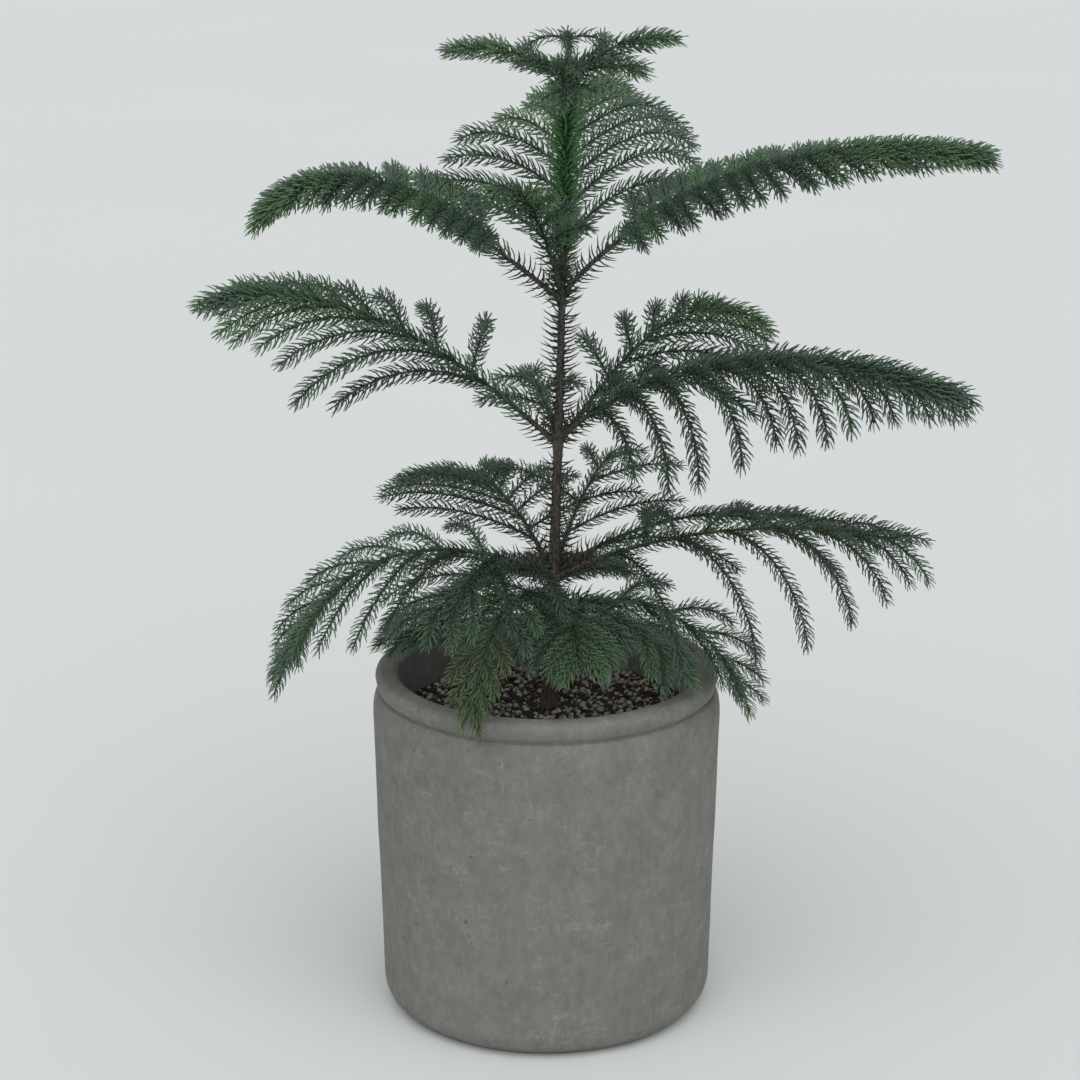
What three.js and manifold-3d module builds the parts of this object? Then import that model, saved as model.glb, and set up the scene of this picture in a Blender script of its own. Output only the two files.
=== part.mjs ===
// Young norfolk island pine in a round cement pot.
// Millimetres, +Z up, origin at the centre of the pot's flat underside, the viewer on the -Y side.
// A slim leaning leader carries five tiers of arching boughs. Each bough is a bare limb and a mass
// of needled twigs that grow from one stem by a seeded rule.

import * as THREE from "three";
import { mergeVertices } from "three/addons/utils/BufferGeometryUtils.js";
import Module from "manifold-3d";

const wasm = await Module();
wasm.setup();

// Gap left between neighbouring solids, the same round the leader where a body is bored for it, how far a
// bore runs past that body, and how far apart two masses stay
const CLEARANCE = 0.3;
const BORE_GAP = 0.4;
const BORE_OVERRUN = 2;
const MASS_GAP = 0.36;

const POT = {
  height: 183,
  radius: 90,
  shoulder: 158,
  footRadius: 86,
  footRound: 13,
  grooveRadius: 85.7,
  grooveHeight: 172,
  grooveLip: 2.5,
  collarRadius: 88.5,
  collarRound: 4,
  rimRadius: 76.6,
  wellRadius: 72,
  floor: 14,
  sectors: 32,
  arcSteps: 2,
};

const SOIL = { top: 160, dish: 2.5, shelf: 14 };

// The leader: its foot stands on the soil, it leans to +X and bows a little on the way up
const TRUNK = {
  foot: SOIL.top + CLEARANCE,
  tip: 509,
  footX: 1.3,
  lean: 0.0252,
  bow: 0.9,
  footRadius: 3.6,
  tipRadius: 0.7,
  taper: 0.85,
  flare: 1.6,
  flareHeight: 9,
  swell: 0.7,
  swellHeight: 5,
  swellFade: 0.5,
  ringInset: 7,
  sides: 8,
};

// Bare limbs between the leader and the masses: neighbours stand a little above and below each other
const LIMB = { taper: 0.8, stagger: 1.2, sides: 5, steps: 3 };

// Sprays, drawn larger than life: each tooth stands for a tuft of needles, uneven by a share of its length
const SPRAY = {
  sides: 3,
  band: 17,
  rootBand: 5,
  rootShare: 0.3,
  stemBand: 24,
  stemTip: 30,
  stemTipBands: 3,
  coreRoot: 0.95,
  coreTip: 0.5,
  stemRoot: 1.35,
  reach: 5.6,
  lead: 6.5,
  uneven: 0.18,
};

// Twigs along a bough: where they start and end, how far apart they stand, how long they are, and how
// they leave their stem and hang. The sways are the largest chance changes of gap, length and angle.
const TWIG = {
  start: 3,
  end: 7,
  firstGap: 29,
  lastGap: 12.5,
  crowding: 1.3,
  gapSway: 0.15,
  rootLength: 0.8,
  filling: 2,
  shortening: 0.78,
  late: 1.5,
  lengthSway: 0.1,
  minimum: 14,
  fullSpan: 40,
  openAngle: 62,
  closeAngle: 36,
  angleSway: 6,
  backOpening: 1.7,
  backClosing: 0.9,
  backUntil: 0.6,
  widest: 92,
  closing: -14,
  follow: 0.6,
  lift: 8,
  bend: 1.3,
  hang: 0.45,
  steps: 16,
  cuts: [1, 0.72, 0.5],
};

// Steps that a bough's centre line is walked in
const BOUGH_STEPS = 48;

// Each tier from the ground up. A bough has its azimuth from +X, its arc length, the slope it
// leaves the trunk with, the slope at its tip, how late it bends, its longest twig and how many degrees
// a twig hangs over on its way out. Some have more: how many degrees its front twigs rise above the
// others, how much longer they are, where the first twig stands, a share of the usual gap, how much
// wider its twigs open and how many degrees higher they leave the stem.
const TIERS = [
  {
    height: 216,
    limbRadius: 1.25,
    bare: 19,
    boughs: [
      { azimuth: 198, length: 90, rise: 22, tip: -40, bend: 1, span: 50, droop: 46, gap: 0.6 },
      { azimuth: 248, length: 134, rise: 30, tip: -96, bend: 1.5, span: 38, droop: 44, gap: 0.9 },
      { azimuth: 280, length: 84, rise: 24, tip: -44, bend: 1.2, span: 48, droop: 60, gap: 0.5 },
      { azimuth: 318, length: 92, rise: 20, tip: -60, bend: 1.2, span: 50, droop: 66, gap: 1.2 },
      { azimuth: 345, length: 122, rise: 18, tip: -78, bend: 1.3, span: 60, droop: 54, bank: -6, gap: 1.4 },
      { azimuth: 90, length: 100, rise: 18, tip: -36, bend: 1, span: 64, droop: 52, gap: 0.8 },
    ],
  },
  {
    height: 231,
    limbRadius: 1.5,
    bare: 24,
    boughs: [
      { azimuth: 116, length: 108, rise: 40, tip: -6, bend: 1, span: 88, droop: 46, lop: 0.1, gap: 0.7 },
      { azimuth: 24, length: 168, rise: 30.5, tip: -26, bend: 0.9, span: 84, droop: 66,
        bank: 6, lop: 0.3, gap: 2.2 },
      { azimuth: 350, length: 188, rise: 32, tip: -10, bend: 0.8, span: 94, droop: 96,
        bank: -6, lop: 0.2, first: 32, gap: 1.4 },
      { azimuth: 194, length: 166, rise: 24, tip: -90, bend: 1.7, span: 80, droop: 56, lop: 0.2, gap: 1.7 },
      { azimuth: 230, length: 108, rise: 32, tip: -40, bend: 1.1, span: 66, droop: 58, gap: 1.2 },
      { azimuth: 70, length: 108, rise: 44, tip: 0, bend: 1, span: 72, droop: 44, gap: 1.8 },
    ],
  },
  {
    height: 302.6,
    limbRadius: 1.5,
    bare: 18,
    boughs: [
      { azimuth: 163, length: 195, rise: 38, tip: -11, bend: 1.7, span: 82, droop: 64,
        bank: -5, lop: 0.28, first: 44, gap: 1.1, lift: 4 },
      { azimuth: 346, length: 214, rise: 45.5, tip: -20, bend: 0.8, span: 82, droop: 112,
        lop: 0.1, gap: 0.9 },
      { azimuth: 40, length: 134, rise: 42, tip: -20, bend: 2.4, span: 68, droop: 62,
        bank: -6, lop: 0.3, first: 30, gap: 1.1 },
      { azimuth: 102, length: 92, rise: 26, tip: -10, bend: 1, span: 44, droop: 50, first: 26, gap: 1.9 },
    ],
  },
  {
    height: 377,
    limbRadius: 1.35,
    bare: 30,
    boughs: [
      { azimuth: 180, length: 174, rise: 38.5, tip: -60, bend: 3, span: 62, droop: 28,
        first: 44, gap: 0.6, spread: 1.7, lift: -10 },
      { azimuth: 2, length: 234, rise: 52, tip: -10, bend: 0.8, span: 58, droop: 28,
        first: 42, gap: 0.6, spread: 1.7, lift: -13 },
      { azimuth: 87, length: 158, rise: 55, tip: 12, bend: 1, span: 96, droop: 74,
        lop: 0.16, gap: 0.9, lift: 7 },
      { azimuth: 246, length: 82, rise: 62, tip: 38, bend: 1, span: 44, droop: 44, gap: 0.7 },
    ],
  },
  {
    height: 485.6,
    limbRadius: 0.95,
    bare: 8,
    boughs: [
      { azimuth: 177, length: 63, rise: 40, tip: -14, bend: 1, span: 30, droop: 40, gap: 0.8 },
      { azimuth: 8, length: 58, rise: 42, tip: -6, bend: 1, span: 26, droop: 40, gap: 0.8 },
      { azimuth: 321, length: 51, rise: 36, tip: -18, bend: 1, span: 22, droop: 32 },
      { azimuth: 95, length: 50, rise: 16, tip: -24, bend: 1, span: 24, droop: 32 },
      { azimuth: 266, length: 36, rise: 12, tip: -40, bend: 1, span: 20, droop: 32 },
    ],
  },
];

// Needled sleeves on the leader between its tiers: where each starts and ends, and its needles
const SLEEVE = { thickness: 1.5, sides: 6, lead: 6 };
const SLEEVES = [
  { from: 242, to: 291, reach: 6.5, band: 12 },
  { from: 315, to: 366, reach: 6.5, band: 12 },
  { from: 389, to: 477, reach: 8.5, band: 9.7 },
];

// Small drooping shoots under the leader's tip
const CROWN = {
  from: 496,
  to: 507,
  height: 505,
  length: 24,
  rise: 24,
  tip: -62,
  bend: 1,
  bands: 4,
  reach: 4.4,
  lead: 3.4,
  azimuths: [184, 4, 94, 274],
};

const MATERIALS = {
  cement: new THREE.MeshStandardMaterial({ color: 0x75746f, roughness: 0.9, metalness: 0 }),
  soil: new THREE.MeshStandardMaterial({ color: 0x2b2620, roughness: 1, metalness: 0 }),
  bark: new THREE.MeshStandardMaterial({ color: 0x4a3b30, roughness: 0.9, metalness: 0 }),
  needles: new THREE.MeshStandardMaterial({ color: 0x35502f, roughness: 0.7, metalness: 0 }),
};

const { degToRad, lerp } = THREE.MathUtils;

// A repeatable number from -1 to 1 for each set of keys
function jitter(...keys) {
  const weights = [12.9898, 78.233, 37.719];
  const wave = Math.sin(keys.reduce((sum, key, i) => sum + key * weights[i], 1.7)) * 43758.5453;
  return 2 * (wave - Math.floor(wave)) - 1;
}

// Geometry from a flat list of face corners
function shell(corners) {
  return new THREE.BufferGeometry().setFromPoints(corners);
}

// A solid body for joining and cutting, and the way back to a geometry
function solid(geometry) {
  const bare = geometry.clone();
  bare.deleteAttribute("normal");
  bare.deleteAttribute("uv");
  const welded = mergeVertices(bare, 1e-4);
  const mesh = new wasm.Mesh({
    numProp: 3,
    vertProperties: new Float32Array(welded.attributes.position.array),
    triVerts: new Uint32Array(welded.index.array),
  });
  return new wasm.Manifold(mesh);
}

function geometryOf(body) {
  const mesh = body.getMesh();
  const geometry = new THREE.BufferGeometry();
  geometry.setAttribute("position", new THREE.BufferAttribute(mesh.vertProperties, 3));
  geometry.setIndex(new THREE.BufferAttribute(mesh.triVerts, 1));
  geometry.computeVertexNormals();
  return geometry;
}

// A station is a place on a shoot's centre line, a share of the way along, with its own directions
function station(at, share, heading, slope) {
  const along = new THREE.Vector3(
    Math.cos(heading) * Math.cos(slope),
    Math.sin(heading) * Math.cos(slope),
    Math.sin(slope),
  );
  const side = new THREE.Vector3(-Math.sin(heading), Math.cos(heading), 0);
  return { at: at.clone(), share, along, side, up: along.clone().cross(side), slope };
}

// Walks a shoot from its root: the slope eases from rise to tip and the heading turns on the way
function grow(root, shoot, steps) {
  const { length, rise, tip, bend, heading = 0, turn = 0 } = shoot;
  const stations = [];
  const at = root.clone();
  for (let i = 0; i <= steps; i++) {
    const share = i / steps;
    const slope = degToRad(rise + (tip - rise) * share ** bend);
    stations.push(station(at, share, degToRad(heading + turn * share), slope));
    at.addScaledVector(stations[i].along, length / steps);
  }
  return stations;
}

// The station at a share of the way along a walked shoot
function sample(stations, share) {
  const next = stations.findIndex((place) => place.share >= share - 1e-9);
  const i = Math.max(0, next - 1);
  const [a, b] = [stations[i], stations[i + 1]];
  const blend = (share - a.share) / (b.share - a.share);
  const mix = (key) => a[key].clone().lerp(b[key], blend);
  const slope = lerp(a.slope, b.slope, blend);
  return { at: mix("at"), share, along: mix("along"), side: mix("side"), up: mix("up"), slope };
}

// Evenly spaced values between two ends, both included
function levels(from, to, count) {
  return Array.from({ length: count + 1 }, (_, i) => lerp(from, to, i / count));
}

// Evenly spaced stations over part of a walked shoot
function portion(stations, from, to, bands) {
  return levels(from, to, bands).map((share) => sample(stations, share));
}

// Corners of a ring about a station
function ring({ at, side, up }, radius, sides, roll) {
  return Array.from({ length: sides }, (_, k) => {
    const angle = (2 * Math.PI * k) / sides + roll;
    const out = side.clone().multiplyScalar(Math.cos(angle)).addScaledVector(up, Math.sin(angle));
    return at.clone().addScaledVector(out, radius);
  });
}

// Fan of faces that closes a ring
function cap(corners, facesForward) {
  const faces = [];
  for (let k = 1; k < corners.length - 1; k++) {
    const [b, c] = facesForward ? [corners[k], corners[k + 1]] : [corners[k + 1], corners[k]];
    faces.push(corners[0], b, c);
  }
  return faces;
}

// A plain tapering limb with a flat cut at each end
function limb(stations, radii, sides) {
  const rings = stations.map((place, i) => ring(place, radii[i], sides, 0));
  const faces = [...cap(rings[0], false), ...cap(rings[rings.length - 1], true)];
  for (let i = 0; i < rings.length - 1; i++) {
    for (let k = 0; k < sides; k++) {
      const next = (k + 1) % sides;
      faces.push(rings[i][k], rings[i][next], rings[i + 1][next]);
      faces.push(rings[i][k], rings[i + 1][next], rings[i + 1][k]);
    }
  }
  return shell(faces);
}

// A needled shoot. Each ring is turned half a step from the last, and past the plain bands every
// forward face between two rings is drawn out into a needle. The tip runs to a point.
function spray(stations, radii, { sides, reach, lead, uneven, plain = 0, roll = 0, seed = 0 }) {
  const last = stations.length - 1;
  const rings = stations
    .slice(0, last)
    .map((place, i) => ring(place, radii[i], sides, roll + (i * Math.PI) / sides));
  const faces = cap(rings[0], false);
  for (let i = 0; i < last; i++) {
    for (let k = 0; k < sides; k++) {
      const a = rings[i][k];
      const b = rings[i][(k + 1) % sides];
      if (i === last - 1) {
        faces.push(a, b, stations[last].at);
        continue;
      }
      const c = rings[i + 1][k];
      const d = rings[i + 1][(k + 1) % sides];
      faces.push(b, d, c);
      if (i < plain) {
        faces.push(a, b, c);
        continue;
      }
      const { at, along } = stations[i + 1];
      const long = 1 + uneven * jitter(seed, i, k);
      const out = c.clone().sub(at).normalize();
      const apex = c.clone().addScaledVector(out, reach * long).addScaledVector(along, lead * long);
      faces.push(a, b, apex, b, c, apex, c, a, apex);
    }
  }
  return shell(faces);
}

// Centre line, lean and girth of the leader at a height
function trunkCentre(height) {
  const rise = height - SOIL.top;
  const bow = TRUNK.bow * Math.sin((Math.PI * rise) / (TRUNK.tip - SOIL.top));
  return new THREE.Vector3(TRUNK.footX + TRUNK.lean * rise + bow, 0, height);
}

function trunkRadius(height) {
  const share = (height - TRUNK.foot) / (TRUNK.tip - TRUNK.foot);
  const taper = lerp(TRUNK.footRadius, TRUNK.tipRadius, share ** TRUNK.taper);
  const flare = TRUNK.flare * Math.exp(-(height - TRUNK.foot) / TRUNK.flareHeight);
  const swell = TIERS.reduce((sum, tier) => {
    const off = (height - tier.height) / TRUNK.swellHeight;
    return sum + TRUNK.swell * (1 - TRUNK.swellFade * share) * Math.exp(-off * off);
  }, 0);
  return taper + flare + swell;
}

// Stations up the leader keep level rings, so its foot is a flat cut
function trunkStations(heights) {
  return heights.map((height) => ({
    at: trunkCentre(height),
    along: new THREE.Vector3(0, 0, 1),
    side: new THREE.Vector3(1, 0, 0),
    up: new THREE.Vector3(0, 1, 0),
  }));
}

function lathe(profile) {
  return new THREE.LatheGeometry(profile, POT.sectors).rotateX(Math.PI / 2);
}

function potGeometry() {
  const { height, radius, footRadius, footRound, collarRadius, collarRound, rimRadius } = POT;
  const path = new THREE.Path();
  path.moveTo(0, 0);
  path.lineTo(footRadius - footRound, 0);
  path.absarc(footRadius - footRound, footRound, footRound, -Math.PI / 2, 0, false);
  path.lineTo(radius, POT.shoulder);
  path.quadraticCurveTo(radius, POT.grooveHeight, POT.grooveRadius, POT.grooveHeight);
  path.lineTo(collarRadius, POT.grooveHeight + POT.grooveLip);
  path.absarc(collarRadius - collarRound, height - collarRound, collarRound, 0, Math.PI / 2, false);
  path.absarc(rimRadius + collarRound, height - collarRound, collarRound, Math.PI / 2, Math.PI, false);
  path.lineTo(POT.wellRadius, POT.floor);
  path.lineTo(0, POT.floor);
  return lathe(path.getPoints(POT.arcSteps));
}

// Radius of the pot's inner wall at a height
function wellRadiusAt(height) {
  const share = (height - POT.floor) / (POT.height - POT.collarRound - POT.floor);
  return lerp(POT.wellRadius, POT.rimRadius, share);
}

// Potting mix: fills the pot to a flat top that dips a little to the wall
function soilGeometry() {
  const bottom = POT.floor + CLEARANCE;
  const edge = SOIL.top - SOIL.dish;
  return lathe([
    new THREE.Vector2(0, bottom),
    new THREE.Vector2(wellRadiusAt(bottom) - CLEARANCE, bottom),
    new THREE.Vector2(wellRadiusAt(edge) - CLEARANCE, edge),
    new THREE.Vector2(wellRadiusAt(edge) - SOIL.shelf, SOIL.top),
    new THREE.Vector2(0, SOIL.top),
  ]);
}

// Rings crowd at the flared foot and at the swelling of each tier
function trunkGeometry() {
  const { foot, flareHeight, swellHeight, ringInset, tip } = TRUNK;
  const heights = [
    ...levels(foot, foot + 2 * flareHeight, 3),
    ...TIERS.flatMap(({ height }) => levels(height - swellHeight, height + swellHeight, 2)),
    ...SLEEVES.flatMap(({ from, to }) => levels(from + ringInset, to - ringInset, 2)),
    tip,
  ].sort((a, b) => a - b);
  return limb(trunkStations(heights), heights.map(trunkRadius), TRUNK.sides);
}

// The leader with a clear margin, for boring what fits round it
function trunkBore(heights) {
  const radii = heights.map((height) => trunkRadius(height) + BORE_GAP);
  return solid(limb(trunkStations(heights), radii, TRUNK.sides));
}

// Leaf bases and needles around the leader, bored clear of it
function sleeveBody({ from, to, reach, band }, seed) {
  const heights = levels(from, to, Math.round((to - from) / band));
  const radii = heights.map((height) => trunkRadius(height) + SLEEVE.thickness);
  const coat = spray(trunkStations(heights), radii, { ...SPRAY, ...SLEEVE, reach, seed });
  return solid(coat).subtract(trunkBore([from - BORE_OVERRUN, ...heights, to + BORE_OVERRUN]));
}

// A short collar of leaf bases near the leader's tip, with a few small shoots, bored clear of it
function crownBody() {
  const heights = levels(CROWN.from, CROWN.to, 1);
  const radii = heights.map((height) => trunkRadius(height) + SLEEVE.thickness);
  let body = solid(limb(trunkStations(heights), radii, SLEEVE.sides));
  CROWN.azimuths.forEach((heading, i) => {
    const stations = grow(trunkCentre(CROWN.height), { ...CROWN, heading }, CROWN.bands);
    const girth = levels(SPRAY.coreRoot, SPRAY.coreTip, CROWN.bands);
    const { reach, lead } = CROWN;
    body = body.add(solid(spray(stations, girth, { ...SPRAY, reach, lead, plain: 1, seed: i })));
  });
  return body.subtract(trunkBore(levels(CROWN.from - BORE_OVERRUN, TRUNK.tip + BORE_OVERRUN, 3)));
}

const group = new THREE.Group();
group.name = "norfolk_island_pine";

function place(parent, name, geometry, material) {
  const mesh = new THREE.Mesh(geometry, material.clone());
  mesh.name = name;
  parent.add(mesh);
  return mesh;
}

// Bodies already standing, in the whole plant's frame, each with the mass that owns it
const standing = [];

function stand(body, owner) {
  standing.push({ body, owner, box: body.boundingBox() });
}

function boxesApart(a, b) {
  return [0, 1, 2].some((k) => a.min[k] > b.max[k] + MASS_GAP || b.min[k] > a.max[k] + MASS_GAP);
}

function isClear(body, owner) {
  const box = body.boundingBox();
  return standing.every((other) => {
    if (other.owner === owner || boxesApart(box, other.box)) {
      return true;
    }
    return body.minGap(other.body, 2 * MASS_GAP) > MASS_GAP;
  });
}

const pot = place(group, "pot", potGeometry(), MATERIALS.cement);
const soil = place(group, "soil", soilGeometry(), MATERIALS.soil);
const trunk = place(group, "trunk", trunkGeometry(), MATERIALS.bark);
[pot, soil, trunk].forEach((mesh) => stand(solid(mesh.geometry), mesh.name));

SLEEVES.forEach((sleeve, i) => {
  const body = sleeveBody(sleeve, i + 1);
  place(group, `trunk_needles_${i + 1}`, geometryOf(body), MATERIALS.needles);
  stand(body, `trunk_needles_${i + 1}`);
});

const crown = crownBody();
place(group, "leader_shoots", geometryOf(crown), MATERIALS.needles);
stand(crown, "leader_shoots");

// A bough's walked centre line starts on the leader's own centre line. The limb begins clear of
// the bark and ends where its mass begins.
function boughLines(tier, bough) {
  const axis = grow(new THREE.Vector3(), bough, BOUGH_STEPS);
  const { limbRadius, height, bare } = tier;
  const slope = degToRad(bough.rise);
  const start = (trunkRadius(height) + BORE_GAP + limbRadius * Math.sin(slope)) / Math.cos(slope);
  return { axis, from: start / bough.length, to: bare / bough.length };
}

// Twigs leave the front and the back of the stem in turn, closer together and shorter towards its tip
function twigPlan(bough, bare) {
  const { azimuth, length, span, lop = 0, first = bare, gap = 1 } = bough;
  const front = Math.cos(degToRad(azimuth)) < 0 ? 1 : -1;
  const plan = [];
  let run = first + TWIG.start;
  for (let i = 0; run < length - TWIG.end; i++) {
    const share = (run - bare) / (length - bare);
    const sway = jitter(azimuth, i, 1);
    const face = i % 2 === 0 ? 1 : -1;
    const inner = Math.min(1, TWIG.rootLength + TWIG.filling * share);
    const outer = 1 - TWIG.shortening * share ** TWIG.late;
    const long = span * inner * outer * (1 + TWIG.lengthSway * sway) * (1 + lop * face);
    plan.push({ run, share, long, face, hand: face * front, sway, seed: azimuth + i });
    const step = gap * lerp(TWIG.firstGap, TWIG.lastGap, share ** TWIG.crowding);
    run += 0.5 * step * (1 + TWIG.gapSway * jitter(azimuth, i, 2));
  }
  return plan.filter(({ long }) => long > TWIG.minimum * Math.min(1, span / TWIG.fullSpan));
}

function twigBody(bough, stem, twig) {
  const root = sample(stem, twig.run / bough.length);
  const slope = THREE.MathUtils.radToDeg(root.slope);
  const { bank = 0, spread = 1, lift = 0 } = bough;
  const closed = Math.min(1, twig.share / TWIG.backUntil);
  const back = lerp(TWIG.backOpening, TWIG.backClosing, closed);
  const opening = spread * (twig.face > 0 ? 1 : back);
  const angle = lerp(TWIG.openAngle, TWIG.closeAngle, twig.share) + TWIG.angleSway * twig.sway;
  const rise = TWIG.follow * slope + TWIG.lift + lift + bank * twig.face;
  const line = grow(root.at, {
    length: twig.long,
    rise,
    tip: rise - bough.droop * lerp(TWIG.hang, 1, twig.long / bough.span),
    bend: TWIG.bend,
    heading: twig.hand * Math.min(TWIG.widest, opening * angle),
    turn: twig.hand * TWIG.closing,
  }, TWIG.steps);
  const rootShare = Math.min(SPRAY.rootShare, SPRAY.rootBand / twig.long);
  const bands = Math.max(2, Math.round((twig.long * (1 - rootShare)) / SPRAY.band));
  const stations = [line[0], ...portion(line, rootShare, 1, bands)];
  const radii = levels(SPRAY.coreRoot, SPRAY.coreTip, bands + 1);
  return solid(spray(stations, radii, { ...SPRAY, plain: 1, roll: twig.sway, seed: twig.seed }));
}

// The stem that a mass's twigs stand on: plain for most of its length, needled at the tip
function stemStations(axis, from, length) {
  const tipShare = Math.max(0.5 * (1 + from), 1 - SPRAY.stemTip / length);
  const plain = Math.max(1, Math.round(((tipShare - from) * length) / SPRAY.stemBand));
  const tip = portion(axis, tipShare, 1, SPRAY.stemTipBands);
  return [...portion(axis, from, tipShare, plain), ...tip.slice(1)];
}

function stemBody(stations, girth, seed) {
  const last = stations.length - 1;
  const radii = levels(girth, SPRAY.coreTip, last);
  return solid(spray(stations, radii, { ...SPRAY, plain: last - SPRAY.stemTipBands, seed }));
}

const masses = [];

TIERS.forEach((tier, t) => {
  const whorl = new THREE.Group();
  whorl.name = `tier_${t + 1}`;
  whorl.position.copy(trunkCentre(tier.height));
  group.add(whorl);
  tier.boughs.forEach((bough, b) => {
    const arm = new THREE.Group();
    arm.name = `tier_${t + 1}_arm_${b + 1}`;
    arm.position.z = b % 2 === 0 ? -LIMB.stagger : LIMB.stagger;
    arm.rotation.z = degToRad(bough.azimuth);
    whorl.add(arm);
    arm.updateWorldMatrix(true, false);
    const { axis, from, to } = boughLines(tier, bough);
    const name = `tier_${t + 1}_foliage_${b + 1}`;
    const radii = levels(tier.limbRadius, LIMB.taper * tier.limbRadius, LIMB.steps);
    const wood = limb(portion(axis, from, to, LIMB.steps), radii, LIMB.sides);
    place(arm, `tier_${t + 1}_bough_${b + 1}`, wood, MATERIALS.bark);
    stand(solid(wood).transform(arm.matrixWorld.elements), `tier_${t + 1}_bough_${b + 1}`);
    const girth = Math.min(SPRAY.stemRoot, tier.limbRadius);
    const stem = stemStations(axis, to + CLEARANCE / bough.length, bough.length);
    const body = stemBody(stem, girth, bough.azimuth);
    stand(body.transform(arm.matrixWorld.elements), name);
    masses.push({ bough, stem, arm, name, body, bare: to * bough.length });
  });
});

// The twigs of every mass, each cut short where it would come too near another node
masses.forEach((mass) => {
  const { bough, stem, arm, name } = mass;
  twigPlan(bough, mass.bare).forEach((twig) => {
    for (const cut of TWIG.cuts) {
      const body = twigBody(bough, stem, { ...twig, long: cut * twig.long });
      const placed = body.transform(arm.matrixWorld.elements);
      if (isClear(placed, name)) {
        stand(placed, name);
        mass.body = mass.body.add(body);
        break;
      }
    }
  });
  place(arm, name, geometryOf(mass.body), MATERIALS.needles);
});

export default group;
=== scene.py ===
"""A young norfolk island pine in a round cement pot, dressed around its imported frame.

Lengths are in metres and angles in degrees. +Z is up, the origin is under the middle of the pot, and the
viewer stands on the -Y side. Boughs, twigs and needles grow by one seeded rule.
"""

import math
from collections import namedtuple
from types import SimpleNamespace

import bmesh
import bpy
import numpy as np
from bpy.props import FloatProperty, FloatVectorProperty, IntProperty, PointerProperty
from bpy.types import Operator, Panel, PropertyGroup
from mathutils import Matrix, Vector, noise


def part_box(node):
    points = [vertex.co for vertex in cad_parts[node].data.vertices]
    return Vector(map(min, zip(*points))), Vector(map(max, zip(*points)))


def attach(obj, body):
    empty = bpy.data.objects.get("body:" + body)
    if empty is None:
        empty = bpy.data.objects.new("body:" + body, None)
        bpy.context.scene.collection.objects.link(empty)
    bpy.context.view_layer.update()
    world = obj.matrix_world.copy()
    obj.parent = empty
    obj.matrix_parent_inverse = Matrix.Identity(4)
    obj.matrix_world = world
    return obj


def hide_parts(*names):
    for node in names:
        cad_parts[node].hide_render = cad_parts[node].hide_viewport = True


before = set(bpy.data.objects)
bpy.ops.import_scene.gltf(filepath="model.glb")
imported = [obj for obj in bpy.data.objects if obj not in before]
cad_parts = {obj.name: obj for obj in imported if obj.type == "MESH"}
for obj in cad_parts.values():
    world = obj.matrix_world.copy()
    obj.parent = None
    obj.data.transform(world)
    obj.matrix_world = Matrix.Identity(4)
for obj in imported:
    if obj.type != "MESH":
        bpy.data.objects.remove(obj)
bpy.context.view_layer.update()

bl_info = {
    "name": "Norfolk Island Pine",
    "version": (1, 0, 0),
    "blender": (4, 5, 0),
    "location": "View3D > Sidebar > Pine",
    "description": "Grows a potted norfolk island pine around its frame",
    "category": "Add Mesh",
}

# Sizes read from the frame
POT_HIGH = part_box("pot")[1]
POT_RADIUS = POT_HIGH.x
POT_HEIGHT = POT_HIGH.z
SOIL_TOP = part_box("soil")[1].z
TRUNK_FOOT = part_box("trunk")[0].z
TRUNK_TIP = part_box("trunk")[1].z

GOLDEN_ANGLE = math.pi * (3 - math.sqrt(5))

# Distance between the rings of the leader and of a limb
RING_STEP = 0.0011

# The leader's lean, bow and girth, the radius from which its bark is full deep, the windings of its leaf
# cushions each way (how many, and their turn in radians to the metre), the waves of its roughness and its
# furrows (round it, and to the metre along it), the share of each in its relief, and its bud
LEADER = SimpleNamespace(
    foot_x=0.0013,
    lean=0.0252,
    bow=0.0009,
    foot_radius=0.0036,
    tip_radius=0.0007,
    taper=0.85,
    flare=0.0016,
    flare_height=0.009,
    swell=0.0007,
    swell_height=0.005,
    swell_thinning=0.5,
    deep_from=0.003,
    windings=((5, 900), (3, 1300)),
    rough_waves=(3, 420),
    furrow_waves=(4, 90),
    cushion=0.5,
    rough=0.6,
    furrow=0.7,
    bud=(0.8, 0.45, 0.1),
    bud_step=0.0005,
)

# A bough's bare limb: how deep it starts in the leader, how far it runs into its stem, its girth at both
# ends, its swollen root and its stem as shares of the tier's limb radius, its bark, and its needles
LIMB = SimpleNamespace(
    depth=0.5,
    overlap=0.0035,
    root=1.05,
    end=0.84,
    swell=0.45,
    swell_run=0.0035,
    stem=0.8,
    windings=((4, 1500), (3, 1100)),
    rough_waves=(3, 500),
    cushion=0.5,
    relief=0.6,
    places=20,
    needle=0.0098,
    root_needle=0.9,
)

# Heights over which the bark goes from old to mid brown, and from brown to green
BROWN_HEIGHTS = (0.20, 0.27)
GREEN_HEIGHTS = (0.395, 0.425)

# The pot's turning points, the waves of its uneven wall (broad and fine ones to the metre, and the share of
# the fine ones), and the radius inside which it strays less
POT = SimpleNamespace(
    underside=0.3,
    turn_drop=0.001,
    turn_rise=0.0015,
    collar_rise=0.0025,
    waves=(24, 70, 0.5),
    calm_radius=0.02,
)

# The soil's gap to the pot, its foot as a share of its top, the hole in its middle, its dish and its lumps
SOIL = SimpleNamespace(
    gap=0.0004,
    foot=0.96,
    middle=0.002,
    dish_width=0.014,
    waves=(75, 190, 0.6),
    lump=0.6,
    sink=0.35,
)

# Each kind of grit: least distance between grains, grains to the square metre, size and flatness
GRIT = [
    ("crumb", 0.0022, 70000.0, 0.0027, 0.75),
    ("chip", 0.0046, 20000.0, 0.0056, 0.40),
    ("buff", 0.0026, 52000.0, 0.0024, 0.80),
    ("pumice", 0.0027, 60000.0, 0.0029, 0.85),
]

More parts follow.
